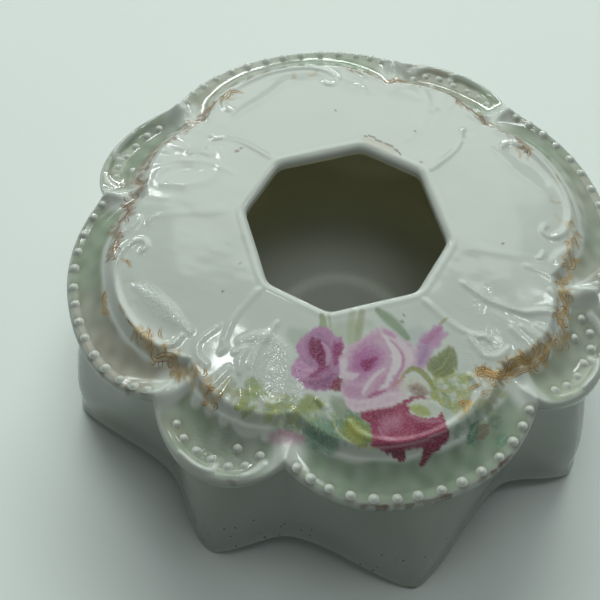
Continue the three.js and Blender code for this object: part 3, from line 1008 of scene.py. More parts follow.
def gildStrokes():
    # all strokes: their lines, places and tone, from the brown print (0) to bright gold (1)
    size = gildSizes
    chance = random.Random(size["seed"])
    strokes = [(count, points, size["leafTone"]) for count, points in gildFront]
    for name, route in gildRoutes.items():
        places = smoothPath(route, 12)
        lengths = np.concatenate([[0], np.cumsum(np.linalg.norm(np.diff(places, axis=0), axis=1))])
        offset, count = 1.5, 0
        while offset < lengths[-1] - 1:
            flip = (chance.choice((1, -1)), 1 if count % 2 else -1)
            scale = chance.uniform(*size["unitScales"])
            tone = chance.uniform(*size["backTones" if name.startswith("back") else "frontTones"])
            for lines, points in gildUnit:
                if chance.random() > size["strokesLost"]:
                    placed = bentStroke(places, lengths, points, offset, flip, scale)
                    strokes.append((lines, lobeStroke(placed, smallAngles[name]), tone))
            offset += size["unitLength"] * chance.uniform(*size["unitSpacing"])
            count += 1
    for name in ("right", "back", "left"):
        angle = bigAngles[name] + lobeTurns[name]
        strokes += [(lines, lobeStroke(points, angle), size["markTone"]) for lines, points in gildMarks]
    return strokes + [(lines, lobeStroke(points, bigAngles["left"]), size["bandTone"])
                      for lines, points in gildBand]


def resampled(rows, steps):
    # rows of values, read at steps that lie between them
    return np.stack([np.interp(steps, np.arange(len(rows)), column) for column in rows.T], 1)


def gildLines():
    # each stroke becomes lines side by side: places, half width, heading and tone at each step
    size = gildSizes
    count = size["points"]
    thin = np.sin(np.pi * np.linspace(0.06, 0.94, count)) ** 0.6
    chance = random.Random(size["seed"] + 1)
    lines = []
    for lineCount, points, tone in gildStrokes():
        # the worn border keeps only a part of its lines
        if tone < 0.8 and chance.random() > size["lineShare"]:
            continue
        path = smoothPath(points, 6)
        path = resampled(path, np.linspace(0, len(path) - 1, count))
        heading = np.gradient(path[:, :2], axis=0)
        heading /= np.maximum(np.linalg.norm(heading, axis=1, keepdims=True), 1e-9)
        across = np.stack([-heading[:, 1], heading[:, 0]], 1) * path[:, 2:]
        for index in range(lineCount):
            share = 2 * index / (lineCount - 1) - 1 if lineCount > 1 else 0
            inner = tone + size["heartTone"] * (1 - abs(share)) if lineCount > 1 else tone
            # no two lines are drawn alike: each starts and ends by itself, wanders a little and swells
            wander = size["wander"] * np.sin(chance.uniform(0, 6) + 5 * np.linspace(0, 1, count))
            line = np.column_stack([path[:, :2] + across * (share + wander)[:, None], heading])
            start, end = chance.uniform(*size["starts"]), chance.uniform(*size["ends"])
            line = resampled(line, np.linspace(start, end, count) * (count - 1))
            width = size["lineWidth"] * chance.uniform(*size["swells"]) * thin
            lines.append(np.column_stack([line[:, :2], width, line[:, 2:], np.full(count, inner)]))
    return np.array(lines)


def makeGilding():
    size = gildSizes
    lines, count = gildLines(), size["points"]
    # the flattened section: shares of the half width, and heights above the surface
    section = [(-1, size["edgeLift"]), (-0.4, size["lift"]), (0.4, size["lift"]), (1, size["edgeLift"]),
               (0, -size["sunk"]), (-1, size["edgeLift"])]
    form = bmesh.new()
    for index in range(len(lines)):
        bmesh.ops.create_grid(form, x_segments=len(section) - 1, y_segments=count - 1, size=1,
                              matrix=Matrix.Translation((0, 0, index)))
    data = meshFrom(form, "lid_gilding")
    across, along, which = vertexPlaces(data).T
    corner = np.rint((across + 1) / 2 * (len(section) - 1)).astype(int)
    step = np.rint((along + 1) / 2 * (count - 1)).astype(int)
    share, lift = np.array(section)[corner].T
    ends = np.where((step == 0) | (step == count - 1), 0, 1)
    x, y, width, headingX, headingY, tone = lines[np.rint(which).astype(int), step].T
    x = x - headingY * width * share * ends
    y = y + headingX * width * share * ends
    storeLayer(data, "printTone", tone)
    finishMesh(data, np.stack([x, y, lidSurface(x, y) + lift * ends], 1))
    return data


# Glazes and painting. Colours are what the glaze reflects, in sRGB.

# the clear glaze and the whites under it. A scale counts the patches in a metre: the cloudy body has
# 29 mm, the waves 9 mm, worn gold 2.4 mm, pits 1.1 mm, wrinkles 0.8 mm and worn print 0.4 mm.
glazeSettings = {
    "white": "#cdd3ca",
    "rubbed": "#d8d6d2",
    "beadTones": ("#d2d8cf", "#c7cdc2"),
    "cloudScale": 35,
    "printScale": 2600,
    "goldScale": 420,
    "roughness": 0.1,
    "dip": 0.12,
    "waveScale": 110,
    "pitScale": 900,
    "pitShare": 0.05,
    "wrinkleScale": 1300,
    "wrinkleTwist": 0.8,
    "wrinkleShare": 1.4,
    "skinDepth": 1.6,
}

tintColours = {
    "sage": "#8fa18a",
    "green": "#98a790",
    "greyGreen": "#9fa999",
    "beige": "#a6a797",
    "warmBeige": "#a5a292",
    "paleGreen": "#a8b09c",
}

# tint of the edge band round the lid: angle, colour
tintRing = [
    (-25, "beige"), (-12, "greyGreen"), (0, "beige"), (12, "green"), (24, "greyGreen"), (38, "green"),
    (46, "beige"), (58, "warmBeige"), (66, "green"), (78, "green"), (90, "greyGreen"), (112, "beige"),
    (124, "greyGreen"), (136, "green"), (146, "beige"), (154, "green"), (172, "green"), (182, "beige"),
    (192, "warmBeige"), (206, "warmBeige"), (218, "green"), (232, "greyGreen"), (246, "sage"), (290, "sage"),
    (308, "paleGreen"), (322, "greyGreen"),
]


def ringTone(angle, ring, colours):
    # blends the colours of a ring of places from angle to angle
    places = [place for place, name in ring]
    tones = np.array([linearColour(colours[name])[:3] for place, name in ring])
    places = np.array(places + [places[0] + 360])
    tones = np.vstack([tones, tones[:1]])
    angle = (angle - places[0]) % 360 + places[0]
    return np.stack([np.interp(angle, places, tones[:, k]) for k in range(3)], 1)


def paint(layer, chosen, mask, colour):
    # lays a colour over the chosen places of the layer
    mask = np.clip(mask, 0, 1)[:, None]
    if isinstance(colour, str):
        colour = np.array(linearColour(colour)[:3])
    layer["colour"][chosen] = mix(layer["colour"][chosen], colour, mask)
    layer["cover"][chosen] = np.maximum(layer["cover"][chosen], mask[:, 0])


def around(layer, x, y, reach):
    return np.flatnonzero((np.abs(layer["x"] - x) < reach) & (np.abs(layer["y"] - y) < reach))


def turned(layer, chosen, x, y, turn):
    # places seen from (x, y), with the first axis turned by an angle in degrees
    dx, dy = layer["x"][chosen] - x, layer["y"][chosen] - y
    c, s = math.cos(math.radians(turn)), math.sin(math.radians(turn))
    return dx * c + dy * s, dy * c - dx * s


def hexMix(low, high, share):
    low, high = (np.array(linearColour(colour)[:3]) for colour in (low, high))
    return mix(low, high, np.clip(share, 0, 1)[:, None])


# leaf veins, painted shade round the beads, painted highlights on the front scroll's crest, and what is
# chipped, cracked or worn
markTones = {
    "vein": "#cfd69c",
    # painted shade round the foot of each bead
    "beadShade": "#8f8874",
    "biscuit": "#c6c4b4",
    "crack": "#6d5a44",
    # painted highlights along the crest of the front scroll
    "leafCrestHighlight": "#c9c684",
    "roseCrestHighlight": "#cf9cab",
    "worn": "#7b6349",
}


# worn places along the lid's edge, most of them at the front
edgeWear = {
    "count": 26,
    "frontAngles": (255, 292),
    "inset": 0.25,
    "halfLengths": (0.3, 1.0),
    "widths": (0.3, 0.25),
    "strengths": (0.3, 0.8),
}


def paintPetal(layer, x, y, length, width, turn, inner, outer, rim, rimShare, ragged, seed):
    # a cupped petal: shaded towards its inner end, a light rim, and a soft shadow round it
    chosen = around(layer, x, y, max(length, width) * 1.5)
    u, v = turned(layer, chosen, x, y, turn)
    px, py = layer["x"][chosen], layer["y"][chosen]
    away = np.hypot(u / length, v / width)
    away = away + ragged * ripple(px, py, 3.2, seed) + ragged * 0.6 * ripple(px, py, 1.3, seed + 1)
    paint(layer, chosen, 0.3 * smooth((1.18 - away) / 0.25), inner)
    tone = hexMix(inner, outer, 0.5 + 0.55 * u / length + 0.16 * ripple(px, py, 2.6, seed + 2)
                  + 0.1 * ripple(u, v * 4, 2.2, seed + 3))
    paint(layer, chosen, smooth((1.0 - away) / 0.12), tone)
    rimMask = smooth((away - 0.78) / 0.12) * smooth((1.0 - away) / 0.08) * smooth((u / length + 0.5) / 0.9)
    paint(layer, chosen, rimShare * rimMask, rim)


def paintLeaf(layer, x, y, length, width, turn, light, dark, seed, strength):
    # a pointed leaf with a pale midrib, side veins and a darker margin
    chosen = around(layer, x, y, length * 1.2)
    u, v = turned(layer, chosen, x, y, turn)
    px, py = layer["x"][chosen], layer["y"][chosen]
    half = width * np.maximum(1 - (u / length) ** 2, 0.0001) ** 0.8 * (1 + 0.1 * ripple(px, py, 1.4, seed))
    away = np.abs(v) / half + (np.abs(u) > length) * 5
    tone = hexMix(light, dark, 0.35 + 0.24 * (v > 0) + 0.55 * smooth((away - 0.55) / 0.5)
                  + 0.3 * ripple(px, py, 1.8, seed + 1))
    paint(layer, chosen, strength * smooth((1.05 - away) / 0.18), tone)
    midrib = smooth((0.22 - np.abs(v)) / 0.16)
    sideVeins = smooth((0.16 - np.abs((u - np.abs(v) * 0.8) % 1.1 - 0.5)) / 0.14)
    paint(layer, chosen, 0.3 * (midrib + 0.6 * sideVeins) * (away < 0.9) * strength, markTones["vein"])


def paintShape(layer, outline, edge, heart, strength, soft, seed):
    # a patch with a smooth outline, which turns from one tone at its edge to another further in
    path = smoothPath([(x, y, 1) for x, y in outline + outline[:1]], 5)
    low, high = path[:, :2].min(0), path[:, :2].max(0)
    chosen = around(layer, *(low + high) / 2, (high - low).max() / 2 + 1)
    px, py = layer["x"][chosen], layer["y"][chosen]
    inside = np.zeros(len(chosen), bool)
    for (ax, ay), (bx, by) in zip(path[:, :2], path[1:, :2]):
        if ay != by:
            inside ^= ((ay > py) != (by > py)) & (px < ax + (py - ay) * (bx - ax) / (by - ay))
    away = nearPath(px, py, path)[0]
    depth = np.where(inside, away, -away) + 0.2 * ripple(px, py, 1.4, seed)
    brushed = 0.28 * ripple(px + py, (px - py) * 4, 4.0, seed + 1) + 0.2 * ripple(px, py, 1.8, seed + 2)
    paint(layer, chosen, strength * smooth(depth / soft + 0.5), hexMix(edge, heart, depth / 1.5 + brushed))


def paintStroke(layer, points, colour, strength, soft=0.35):
    path = smoothPath(points, 5)
    low, high = path[:, :2].min(0), path[:, :2].max(0)
    chosen = around(layer, *(low + high) / 2, (high - low).max() + path[:, 2].max() * 2 + 1)
    away = nearPath(layer["x"][chosen], layer["y"][chosen], path)[0]
    paint(layer, chosen, strength * smooth((1 + soft / 2 - away) / soft), colour)


def paintSprays(layer, x, y, reachX, reachY, turn, count, colours, seed, strength=0.7, size=(0.9, 1.7)):
    # a loose patch of small leaves
    chance = random.Random(seed)
    c, s = math.cos(math.radians(turn)), math.sin(math.radians(turn))
    for index in range(count):
        distance, way = math.sqrt(chance.random()), chance.uniform(0, math.tau)
        u, v = distance * math.cos(way) * reachX, distance * math.sin(way) * reachY
        length = chance.uniform(*size)
        light = chance.choice(colours)
        paintLeaf(layer, x + u * c - v * s, y + u * s + v * c, length, length * chance.uniform(0.3, 0.55),
                  chance.uniform(0, 360), light, chance.choice(colours), seed + index,
                  strength * chance.uniform(0.5, 1))


def paintTint(layer):
    # the tint of the edge band pools and wavers, and fades at the notches and on the strands
    x, y = layer["x"], layer["y"]
    angle, radius = np.degrees(np.arctan2(y, x)), np.hypot(x, y)
    waver = 0.5 * ripple(x, y, 7, 3)
    inner = smooth((radius - borderAt(angle) + 0.1 + waver * 0.6) / 1.1)
    outer = smooth((edgeAt(angle)[0] - 0.35 - radius) / 0.9)
    fromNotch = np.abs(lobePlan(angle)[2] - lidForm["notchAngle"])
    fade = smooth((fromNotch * radius * math.pi / 180 - 1.4) / 3.2)
    tone = ringTone(angle + 3 * ripple(x, y, 11, 9), tintRing, tintColours)
    pooled = 1 + 0.12 * ripple(x, y, 5, 12)
    mask = inner * outer * fade * layer["bare"] * (0.92 + 0.12 * ripple(x, y, 6, 11))
    paint(layer, np.arange(len(x)), mask, tone * pooled[:, None])
    layer["cover"][:] = 0


# The spray of roses, in the order of painting. A patch has its outline, the tones at its edge and in
# its heart, strength and softness; a stroke has its places with half widths, tone, strength and softness.
stemPaint = [
    ("stroke", [(-11.3, -20.6, 0.5), (-11.4, -21.9, 0.7), (-11.9, -24.2, 0.7)], "#8f9f72", 0.75, 0.8),
    ("stroke", [(-9.9, -21, 0.35), (-10.2, -23.4, 0.35)], "#a3a881", 0.5, 0.8),
    ("stroke", [(-5.0, -21.6, 0.7), (-6.1, -24.4, 0.8), (-7.2, -27.9, 0.7)], "#a9b08a", 0.5, 1.2),
    ("stroke", [(-3.0, -21.9, 0.6), (-4.3, -24.6, 0.8), (-5.9, -28.2, 0.7)], "#949a6c", 0.6, 1.1),
    ("stroke", [(0.2, -22.4, 0.6), (1.6, -24.5, 1.1), (3.1, -27.2, 1.0), (4.3, -29.9, 0.6)], "#748d68",
     0.7, 1.0),
    ("stroke", [(4.2, -26.0, 0.3), (4.6, -26.4, 0.3)], "#5c6650", 0.6, 0.5),
    ("stroke", [(10.9, -29.4, 0.25), (12.3, -28.2, 0.3), (13.8, -27.5, 0.2)], "#a3a061", 0.7, 0.8),
]

lilacPaint = [
    ("patch", [(4.9, -33.1), (5.8, -31.4), (7.6, -29.8), (9.4, -29.4), (10.6, -28.4), (12.2, -28.8),
               (12.0, -30.0), (12.9, -30.8), (11.2, -31.8), (10.2, -33.2), (8.4, -34.0), (7.4, -35.8),
               (5.2, -37.2), (3.9, -36.3), (4.0, -34.5)], "#c0a0bd", "#b088ac", 0.85, 0.9),
    ("stroke", [(7.6, -31.6, 0.6), (9.6, -30.4, 0.8), (11.6, -29.4, 0.4)], "#b8769f", 0.65, 1.2),
    ("stroke", [(8.6, -32.8, 0.4), (10.2, -31.8, 0.6), (12.2, -31.0, 0.3)], "#c692b3", 0.55, 1.2),
    ("stroke", [(5.2, -35.6, 0.6), (6.4, -34.4, 0.8), (7.4, -33.0, 0.5)], "#a07fa6", 0.5, 1.2),
]

mauvePaint = [
    ("patch", [(-14.3, -23.2), (-12.1, -23.0), (-10.5, -24.2), (-9.9, -25.9), (-8.6, -26.6), (-8.8, -28.5),
               (-10.2, -30.3), (-10.8, -33.1), (-12.2, -35.2), (-14.3, -36.5), (-16.6, -36.1),
               (-18.6, -35.0), (-19.5, -33.1), (-20.7, -31.1), (-19.5, -29.0), (-18.3, -28.0),
               (-18.2, -26.0), (-16.9, -24.6)], "#b98bae", "#a8779c", 0.95, 0.5),
    ("patch", [(-19.9, -29.4), (-18.2, -29.0), (-16.7, -30.6), (-15.4, -32.0), (-17.6, -32.8),
               (-19.4, -32.4), (-20.6, -31.4)], "#d0a5c2", "#b989ab", 0.8, 0.6),
    ("patch", [(-18.9, -33.4), (-17.2, -33.1), (-14.7, -33.1), (-12.8, -32.8), (-11.6, -34.3),
               (-13.1, -36.0), (-14.7, -36.5), (-17.1, -35.5)], "#a5708f", "#8d5a7f", 0.85, 0.7),
    ("patch", [(-10.4, -27.0), (-9.0, -27.8), (-9.2, -29.3), (-10.6, -31.1), (-11.7, -31.9),
               (-11.4, -29.0)], "#a04c7c", "#8c2f60", 0.85, 0.6),
    ("patch", [(-14.6, -24.9), (-13.1, -25.8), (-12.8, -28.1), (-13.2, -30.3), (-13.1, -32.2),
               (-14.4, -31.3), (-15.5, -29.4), (-15.9, -27.7), (-15.5, -25.9)], "#8c3560", "#6f1c40",
     0.9, 0.6),
    ("patch", [(-13.1, -32.4), (-14.8, -32.7), (-16.9, -33.2), (-17.3, -32.5), (-15.9, -31.9),
               (-14.5, -31.5)], "#943f6c", "#80285a", 0.85, 0.6),
    ("stroke", [(-12.9, -26.6, 0.25), (-12.2, -28.4, 0.45), (-12.6, -30.4, 0.4), (-13.4, -31.5, 0.2)],
     "#c9a6bd", 0.7, 1.0),
    ("stroke", [(-16.8, -25.6, 0.5), (-17.2, -27.2, 0.6), (-16.8, -29.2, 0.4)], "#c391b4", 0.5, 1.2),
    ("stroke", [(-12.0, -24.2, 0.5), (-11.4, -25.8, 0.6), (-11.0, -27.2, 0.3)], "#bd8cb0", 0.45, 1.2),
    ("stroke", [(-19.2, -30.2, 0.2), (-17.8, -31.2, 0.3), (-16.3, -31.8, 0.2)], "#d8b4cc", 0.5, 1.0),
    ("stroke", [(-18.4, -33.0, 0.2), (-16.7, -33.6, 0.3), (-14.4, -33.6, 0.3), (-12.6, -33.2, 0.2)],
     "#b583a4", 0.55, 1.0),
]

crimsonPaint = [
    ("patch", [(-14.3, -36.4), (-13.1, -35.4), (-11.6, -34.5), (-11.0, -36.0), (-10.2, -37.7),
               (-12.2, -37.6)], "#8b3552", "#752641", 0.9, 0.5),
    ("patch", [(-7.9, -50.3), (-5.4, -51.0), (-2.9, -51.4), (-3.0, -52.9), (-4.1, -53.4), (-5.3, -52.4),
               (-6.9, -51.3)], "#7c2442", "#6b1a36", 0.95, 0.35),
    ("patch", [(1.0, -51.6), (3.1, -51.5), (6.1, -50.5), (6.3, -51.4), (4.3, -52.8), (2.5, -53.4),
               (0.9, -54.4), (-0.5, -54.9), (0.1, -53.4)], "#7c2442", "#651730", 0.95, 0.35),
    ("patch", [(-9.4, -42.4), (-6.0, -42.3), (-2.3, -42.8), (1.4, -42.2), (3.8, -42.8), (6.2, -46.6),
               (6.3, -50.0), (6.4, -51.2), (4.2, -52.3), (2.1, -52.5), (-1.1, -51.9), (-4.3, -51.6),
               (-7.4, -50.9), (-9.2, -49.8), (-9.2, -48.2), (-8.4, -46.5), (-8.6, -45.0), (-9.5, -43.8)],
     "#98375a", "#a03c5f", 0.95, 0.4),
    ("patch", [(-8.6, -43.2), (-5.4, -43.4), (-2.6, -43.6), (-4.2, -45.4), (-6.8, -46.4), (-8.4, -45.0)],
     "#8c3050", "#7c2846", 0.7, 0.9),
    ("patch", [(-6.8, -44.9), (-4.2, -44.2), (-1.6, -44.8), (-1.4, -46.6), (-3.0, -48.1), (-5.0, -48.1),
               (-6.4, -49.0), (-6.7, -47.0)], "#b0647f", "#c48ba0", 0.6, 1.4),
    ("patch", [(0.6, -47.4), (3.4, -48.6), (5.8, -48.8), (5.8, -50.4), (2.4, -51.2), (-0.6, -50.4)],
     "#8c3050", "#842b4a", 0.65, 0.9),
    ("stroke", [(-8.4, -47.6, 0.3), (-7.4, -49.4, 0.4), (-5.2, -50.4, 0.3)], "#7c2644", 0.6, 1.0),
    ("stroke", [(-0.6, -45.2, 0.2), (0.9, -46.5, 0.3), (3.1, -47.7, 0.35), (5.6, -48.2, 0.25)], "#bb8498",
     0.6, 0.9),
    ("stroke", [(-6.9, -46.6, 0.2), (-6.4, -48.6, 0.3), (-4.4, -49.8, 0.2)], "#c58ea3", 0.5, 1.0),
]

leafPaint = [
    ("patch", [(7.2, -35.3), (9.8, -34.5), (12.2, -33.5), (13.1, -35.2), (12.4, -38.0), (10.3, -39.6),
               (8.0, -39.6), (6.5, -38.4), (6.4, -36.6)], "#878d58", "#6d7640", 0.85, 0.8),
    ("stroke", [(7.2, -38.4, 0.15), (9.6, -37.2, 0.2), (12.2, -34.8, 0.15)], "#abb07c", 0.5, 1.0),
    ("patch", [(-20.6, -36.9), (-18.5, -36.3), (-16.8, -37.4), (-15.7, -38.8), (-16.9, -40.1),
               (-19.1, -39.9), (-21.5, -38.6)], "#a3ad77", "#8a9a5a", 0.85, 0.8),
    ("stroke", [(-17.6, -38.0, 0.5), (-16.8, -38.8, 0.6), (-16.9, -39.6, 0.3)], "#6f7c42", 0.6, 1.0),
    ("patch", [(-12.9, -43.3), (-11.3, -42.9), (-9.8, -44.3), (-8.7, -46.0), (-8.7, -48.1), (-9.7, -49.4),
               (-11.1, -49.4), (-12.7, -48.3), (-13.8, -46.6), (-14.2, -44.9)], "#80904f", "#94a05c",
     0.95, 0.5),
    ("patch", [(-12.2, -44.0), (-11.3, -44.7), (-10.6, -46.9), (-11.0, -48.5), (-12.2, -47.6),
               (-12.9, -45.9)], "#a3a85c", "#b4b055", 0.75, 0.9),
]

palePaint = [
    ("patch", [(-3.0, -26.8), (-0.5, -26.3), (2.1, -27.9), (2.9, -29.9), (4.4, -30.7), (5.0, -32.7),
               (4.4, -35.5), (2.5, -37.3), (0.9, -38.3), (1.0, -40.6), (-0.8, -42.2), (-3.4, -43.0),
               (-5.7, -42.7), (-8.1, -42.7), (-10.4, -42.3), (-11.7, -40.8), (-12.0, -38.7), (-11.8, -36.8),
               (-11.0, -35.1), (-10.9, -32.8), (-10.4, -30.8), (-9.1, -29.8), (-8.0, -28.5), (-6.0, -28.3),
               (-4.6, -27.5)], "#cfb7c3", "#c8a6ba", 0.97, 0.5),
    ("patch", [(-11.0, -35.3), (-9.6, -37.0), (-7.2, -38.0), (-8.1, -39.8), (-10.6, -39.3), (-11.7, -37.7)],
     "#bf95b0", "#b586a6", 0.7, 1.0),
    ("patch", [(-6.0, -28.7), (-3.3, -28.6), (-1.7, -30.1), (-1.0, -32.1), (-2.0, -34.1), (-3.6, -35.3),
               (-6.4, -36.6), (-8.9, -36.7), (-9.8, -35.2), (-9.5, -33.0), (-8.3, -31.1), (-7.4, -29.8)],
     "#c39ab6", "#b67fa6", 0.85, 0.9),
    ("patch", [(-6.7, -30.4), (-4.6, -30.3), (-2.5, -31.5), (-2.6, -33.3), (-4.3, -34.7), (-7.0, -35.1),
               (-8.3, -34.0), (-7.9, -31.9)], "#b57aa4", "#ac6c9a", 0.75, 1.0),
    ("patch", [(-6.1, -32.3), (-4.6, -32.2), (-3.0, -32.7), (-4.2, -33.8), (-5.2, -34.8), (-6.3, -34.4),
               (-6.7, -33.2)], "#96386c", "#7f2353", 0.85, 0.7),
    ("patch", [(-10.3, -31.0), (-9.1, -30.9), (-9.2, -32.4), (-9.9, -33.6), (-8.6, -34.3), (-7.5, -35.0),
               (-8.8, -35.7), (-10.5, -35.0), (-10.9, -33.3)], "#dccfd5", "#d5c6cd", 0.85, 0.7),
    ("patch", [(-4.1, -36.2), (-1.8, -36.4), (-0.6, -37.8), (-1.7, -39.3), (-4.3, -39.7), (-6.3, -39.3)],
     "#c9a0b8", "#bc8eaa", 0.8, 0.8),
    ("patch", [(-0.7, -27.4), (0.5, -28.3), (1.7, -30.5), (2.1, -32.7), (1.3, -35.2), (-0.7, -37.1),
               (-2.9, -39.0), (-4.8, -39.5), (-3.2, -38.0), (-1.3, -35.9), (-0.1, -33.9), (0.1, -31.7),
               (-0.2, -29.4)], "#ded6d8", "#d9d2d4", 0.9, 0.6),
    ("patch", [(0.9, -28.9), (1.9, -30.6), (2.5, -33.2), (1.7, -35.9), (0.3, -37.5), (0.8, -38.1),
               (2.5, -36.6), (4.0, -34.7), (4.3, -32.3), (3.4, -30.6), (2.4, -29.2)], "#dacfd2", "#d3c6ca",
     0.85, 0.6),
    ("stroke", [(0.7, -29.4, 0.2), (1.7, -31.2, 0.3), (2.2, -33.6, 0.35), (1.3, -35.8, 0.3),
                (-0.3, -37.4, 0.25), (-1.5, -38.7, 0.15)], "#b4789d", 0.6, 1.0),
    ("stroke", [(-2.3, -35.2, 0.25), (-4.3, -36.0, 0.4), (-5.9, -37.1, 0.4), (-7.3, -38.3, 0.4),
                (-8.0, -39.2, 0.2)], "#dccfd5", 0.8, 0.7),
    ("stroke", [(-1.6, -28.2, 0.4), (-2.6, -28.0, 0.5), (-4.2, -28.2, 0.3)], "#c093b2", 0.5, 1.2),
    ("stroke", [(0.2, -27.4, 0.4), (1.2, -28.2, 0.5), (1.8, -29.2, 0.3)], "#bd8cae", 0.55, 1.1),
    ("patch", [(-11.8, -38.5), (-10.4, -39.8), (-7.7, -40.5), (-4.7, -40.4), (-1.8, -40.3), (0.8, -41.2),
               (-1.1, -42.4), (-4.0, -43.0), (-7.1, -42.6), (-10.2, -42.5), (-11.6, -40.8)], "#dccdd1",
     "#cfb4c0", 0.85, 0.7),
    ("stroke", [(-7.2, -40.1, 0.2), (-6.0, -39.9, 0.5), (-4.6, -39.7, 0.4), (-3.4, -39.6, 0.15)], "#a34a7c",
     0.75, 0.7),
]

calyxPaint = [
    ("patch", [(-0.8, -39.7), (1.3, -38.5), (3.1, -38.1), (4.6, -39.4), (5.3, -41.3), (3.7, -40.6),
               (1.7, -40.1), (0.2, -40.8)], "#d3d2c4", "#c9c7b4", 0.8, 0.8),
    ("patch", [(1.4, -39.7), (3.4, -39.8), (4.9, -41.8), (3.6, -43.0), (1.6, -41.6)], "#a08a80", "#7c5b53",
     0.75, 0.8),
    ("stroke", [(0.8, -37.5, 0.2), (3.0, -36.5, 0.5), (4.6, -37.3, 0.6), (5.7, -39.3, 0.6),
                (6.3, -41.4, 0.2)], "#8f9350", 0.85, 0.6),
    ("stroke", [(-1.9, -39.4, 0.15), (-0.4, -38.5, 0.25), (1.1, -37.8, 0.25)], "#b58a60", 0.75, 0.7),
    ("patch", [(0.1, -43.6), (1.6, -42.9), (3.8, -43.2), (6.0, -44.3), (6.7, -45.6), (5.8, -47.0),
               (4.0, -47.3), (1.7, -46.6), (0.2, -45.1)], "#d3dacd", "#c6cfc0", 0.95, 0.4),
    ("patch", [(0.5, -43.9), (2.5, -44.1), (4.0, -45.5), (3.5, -46.8), (1.7, -46.2), (0.3, -44.9)],
     "#abb268", "#9aa552", 0.85, 0.8),
]


# the green ground behind the flowers: place, length, width, turn, strength, tone
groundPatches = [
    (-20.5, -40.5, 7, 3.6, -25, 0.45, "#93a588"), (-10, -44.5, 6.5, 3.6, -10, 0.5, "#7f9177"),
    (9.2, -43.5, 6, 4.2, 40, 0.4, "#93a588"), (-30, -36, 4.5, 3.4, -40, 0.3, "#a3ae84"),
    (-9, -25.5, 6.5, 3.0, 0, 0.4, "#a3b094"), (12, -48, 4.6, 3, 20, 0.35, "#93a588"),
    (-17.4, -24.0, 2.6, 3.0, 30, 0.45, "#9cab94"), (5.4, -29.6, 3.4, 2.4, 30, 0.4, "#aab6b4"),
    (-17.6, -45.0, 4.4, 3.2, -30, 0.6, "#6f8a78"), (-13.0, -40.6, 2.4, 3.0, 20, 0.6, "#74845f"),
]


# loose small leaves: place, reach along and across, turn, count, tones, seed, strength
leafSprays = [
    (-20.6, -41.3, 5.6, 2.6, -30, 46, ["#7d9078", "#6c8a7c", "#93a878", "#5f7a5c", "#a2ad7d", "#82a093"],
     41),
    (-10.6, -44.0, 5.5, 2.4, -15, 36, ["#6c8a7c", "#5f7a5c", "#93a878", "#4f6c50"], 42),
    (-17.4, -45.2, 4.2, 2.8, -30, 44, ["#5e8577", "#6f9486", "#4c7064", "#7fa095", "#56745c"], 43),
    (-29.3, -33.4, 4.2, 3.4, -40, 36, ["#a9ae62", "#8b9a52", "#97a78c", "#7c8f5c"], 44),
    (-24.6, -37.6, 3.6, 2.6, -40, 30, ["#a9ae62", "#8b9a62", "#97a78c", "#c9cfae"], 49),
    (-33.4, -30.8, 3.4, 2.2, -45, 18, ["#b3b49a", "#97a78c", "#a09a80"], 50, 0.5),
    (9.4, -42.6, 4.6, 4.2, 50, 60, ["#93a878", "#b3b878", "#7d9078", "#8f9a52", "#dfe3d2", "#b9a94f"], 45),
    (12.6, -50.4, 5.4, 2.4, 22, 24, ["#7fa093", "#95ab9a", "#6f9486"], 46, 0.5),
    (16.8, -46.5, 4.6, 2.4, 40, 26, ["#a9b39b", "#b1ab86", "#8fa08a"], 47, 0.5),
]


whiteFlowers = [(8.4, -41.6), (10.6, -40.8), (9.6, -43.6), (12.2, -42.6)]


budPaint = [
    ("stroke", [(-27.4, -41.6, 0.9), (-24.8, -43.0, 1.3), (-22.0, -43.8, 0.8)], "#bfa0aa", 0.7, 1.3),
    ("stroke", [(-25.8, -41.4, 0.5), (-23.6, -42.4, 0.7), (-21.8, -43.6, 0.4)], "#ae8293", 0.6, 1.2),
]


# single leaves by the edge: place, length, width, turn, two tones, seed, strength
edgeLeaves = [
    (13.4, -51.2, 2.2, 1.3, 20, "#8f7f6c", "#7c6a58", 65, 0.75),
    (11.6, -51.2, 2.6, 0.9, 50, "#5f8f7f", "#4c7468", 66, 0.8),
    (17.1, -49.8, 1.8, 1.2, 20, "#86968a", "#6d7d70", 67, 0.6),
    (17.4, -53.4, 1.6, 1.2, 40, "#6d9a85", "#5d8a75", 68, 0.7),
]


# dark specks over the calyx between the roses
calyxSpray = (3.2, -41.2, 1.7, 1.2, -30, 18, ["#7a4455", "#5f5a48", "#c9b9b4"], 78, 0.7, (0.3, 0.55))


# a light line is painted along the sharp crest of the front scroll, over the leaf and the rose: a painted
# highlight
crestPaint = [
    ("stroke", [(-15.1, -43.0, 0.12), (-15.0, -45.0, 0.16), (-13.9, -47.0, 0.16), (-12.3, -48.5, 0.16),
                (-10.4, -49.6, 0.16), (-8.5, -50.2, 0.14)], markTones["leafCrestHighlight"], 0.8, 0.9),
    ("stroke", [(-8.5, -50.2, 0.12), (-5.8, -50.8, 0.14), (-2.8, -51.2, 0.14), (0.3, -51.3, 0.16),
                (2.8, -51.0, 0.16), (6.1, -50.4, 0.14)], markTones["roseCrestHighlight"], 0.75, 0.9),
]


# the chip at the back of the hole: bare biscuit with a brown crack round it
chipPaint = [
    ("stroke", [(10.6, 21.8, 0.5), (12.4, 20.4, 1.1), (14.6, 18.4, 1.2), (16.2, 16.6, 0.6)],
     markTones["biscuit"], 0.85),
    ("stroke", [(11.2, 22.8, 0.2), (12.8, 22.4, 0.22), (13.6, 20.9, 0.2), (15.0, 20.0, 0.24),
                (16.6, 17.6, 0.22), (17.4, 15.4, 0.2)], markTones["crack"], 0.85),
]


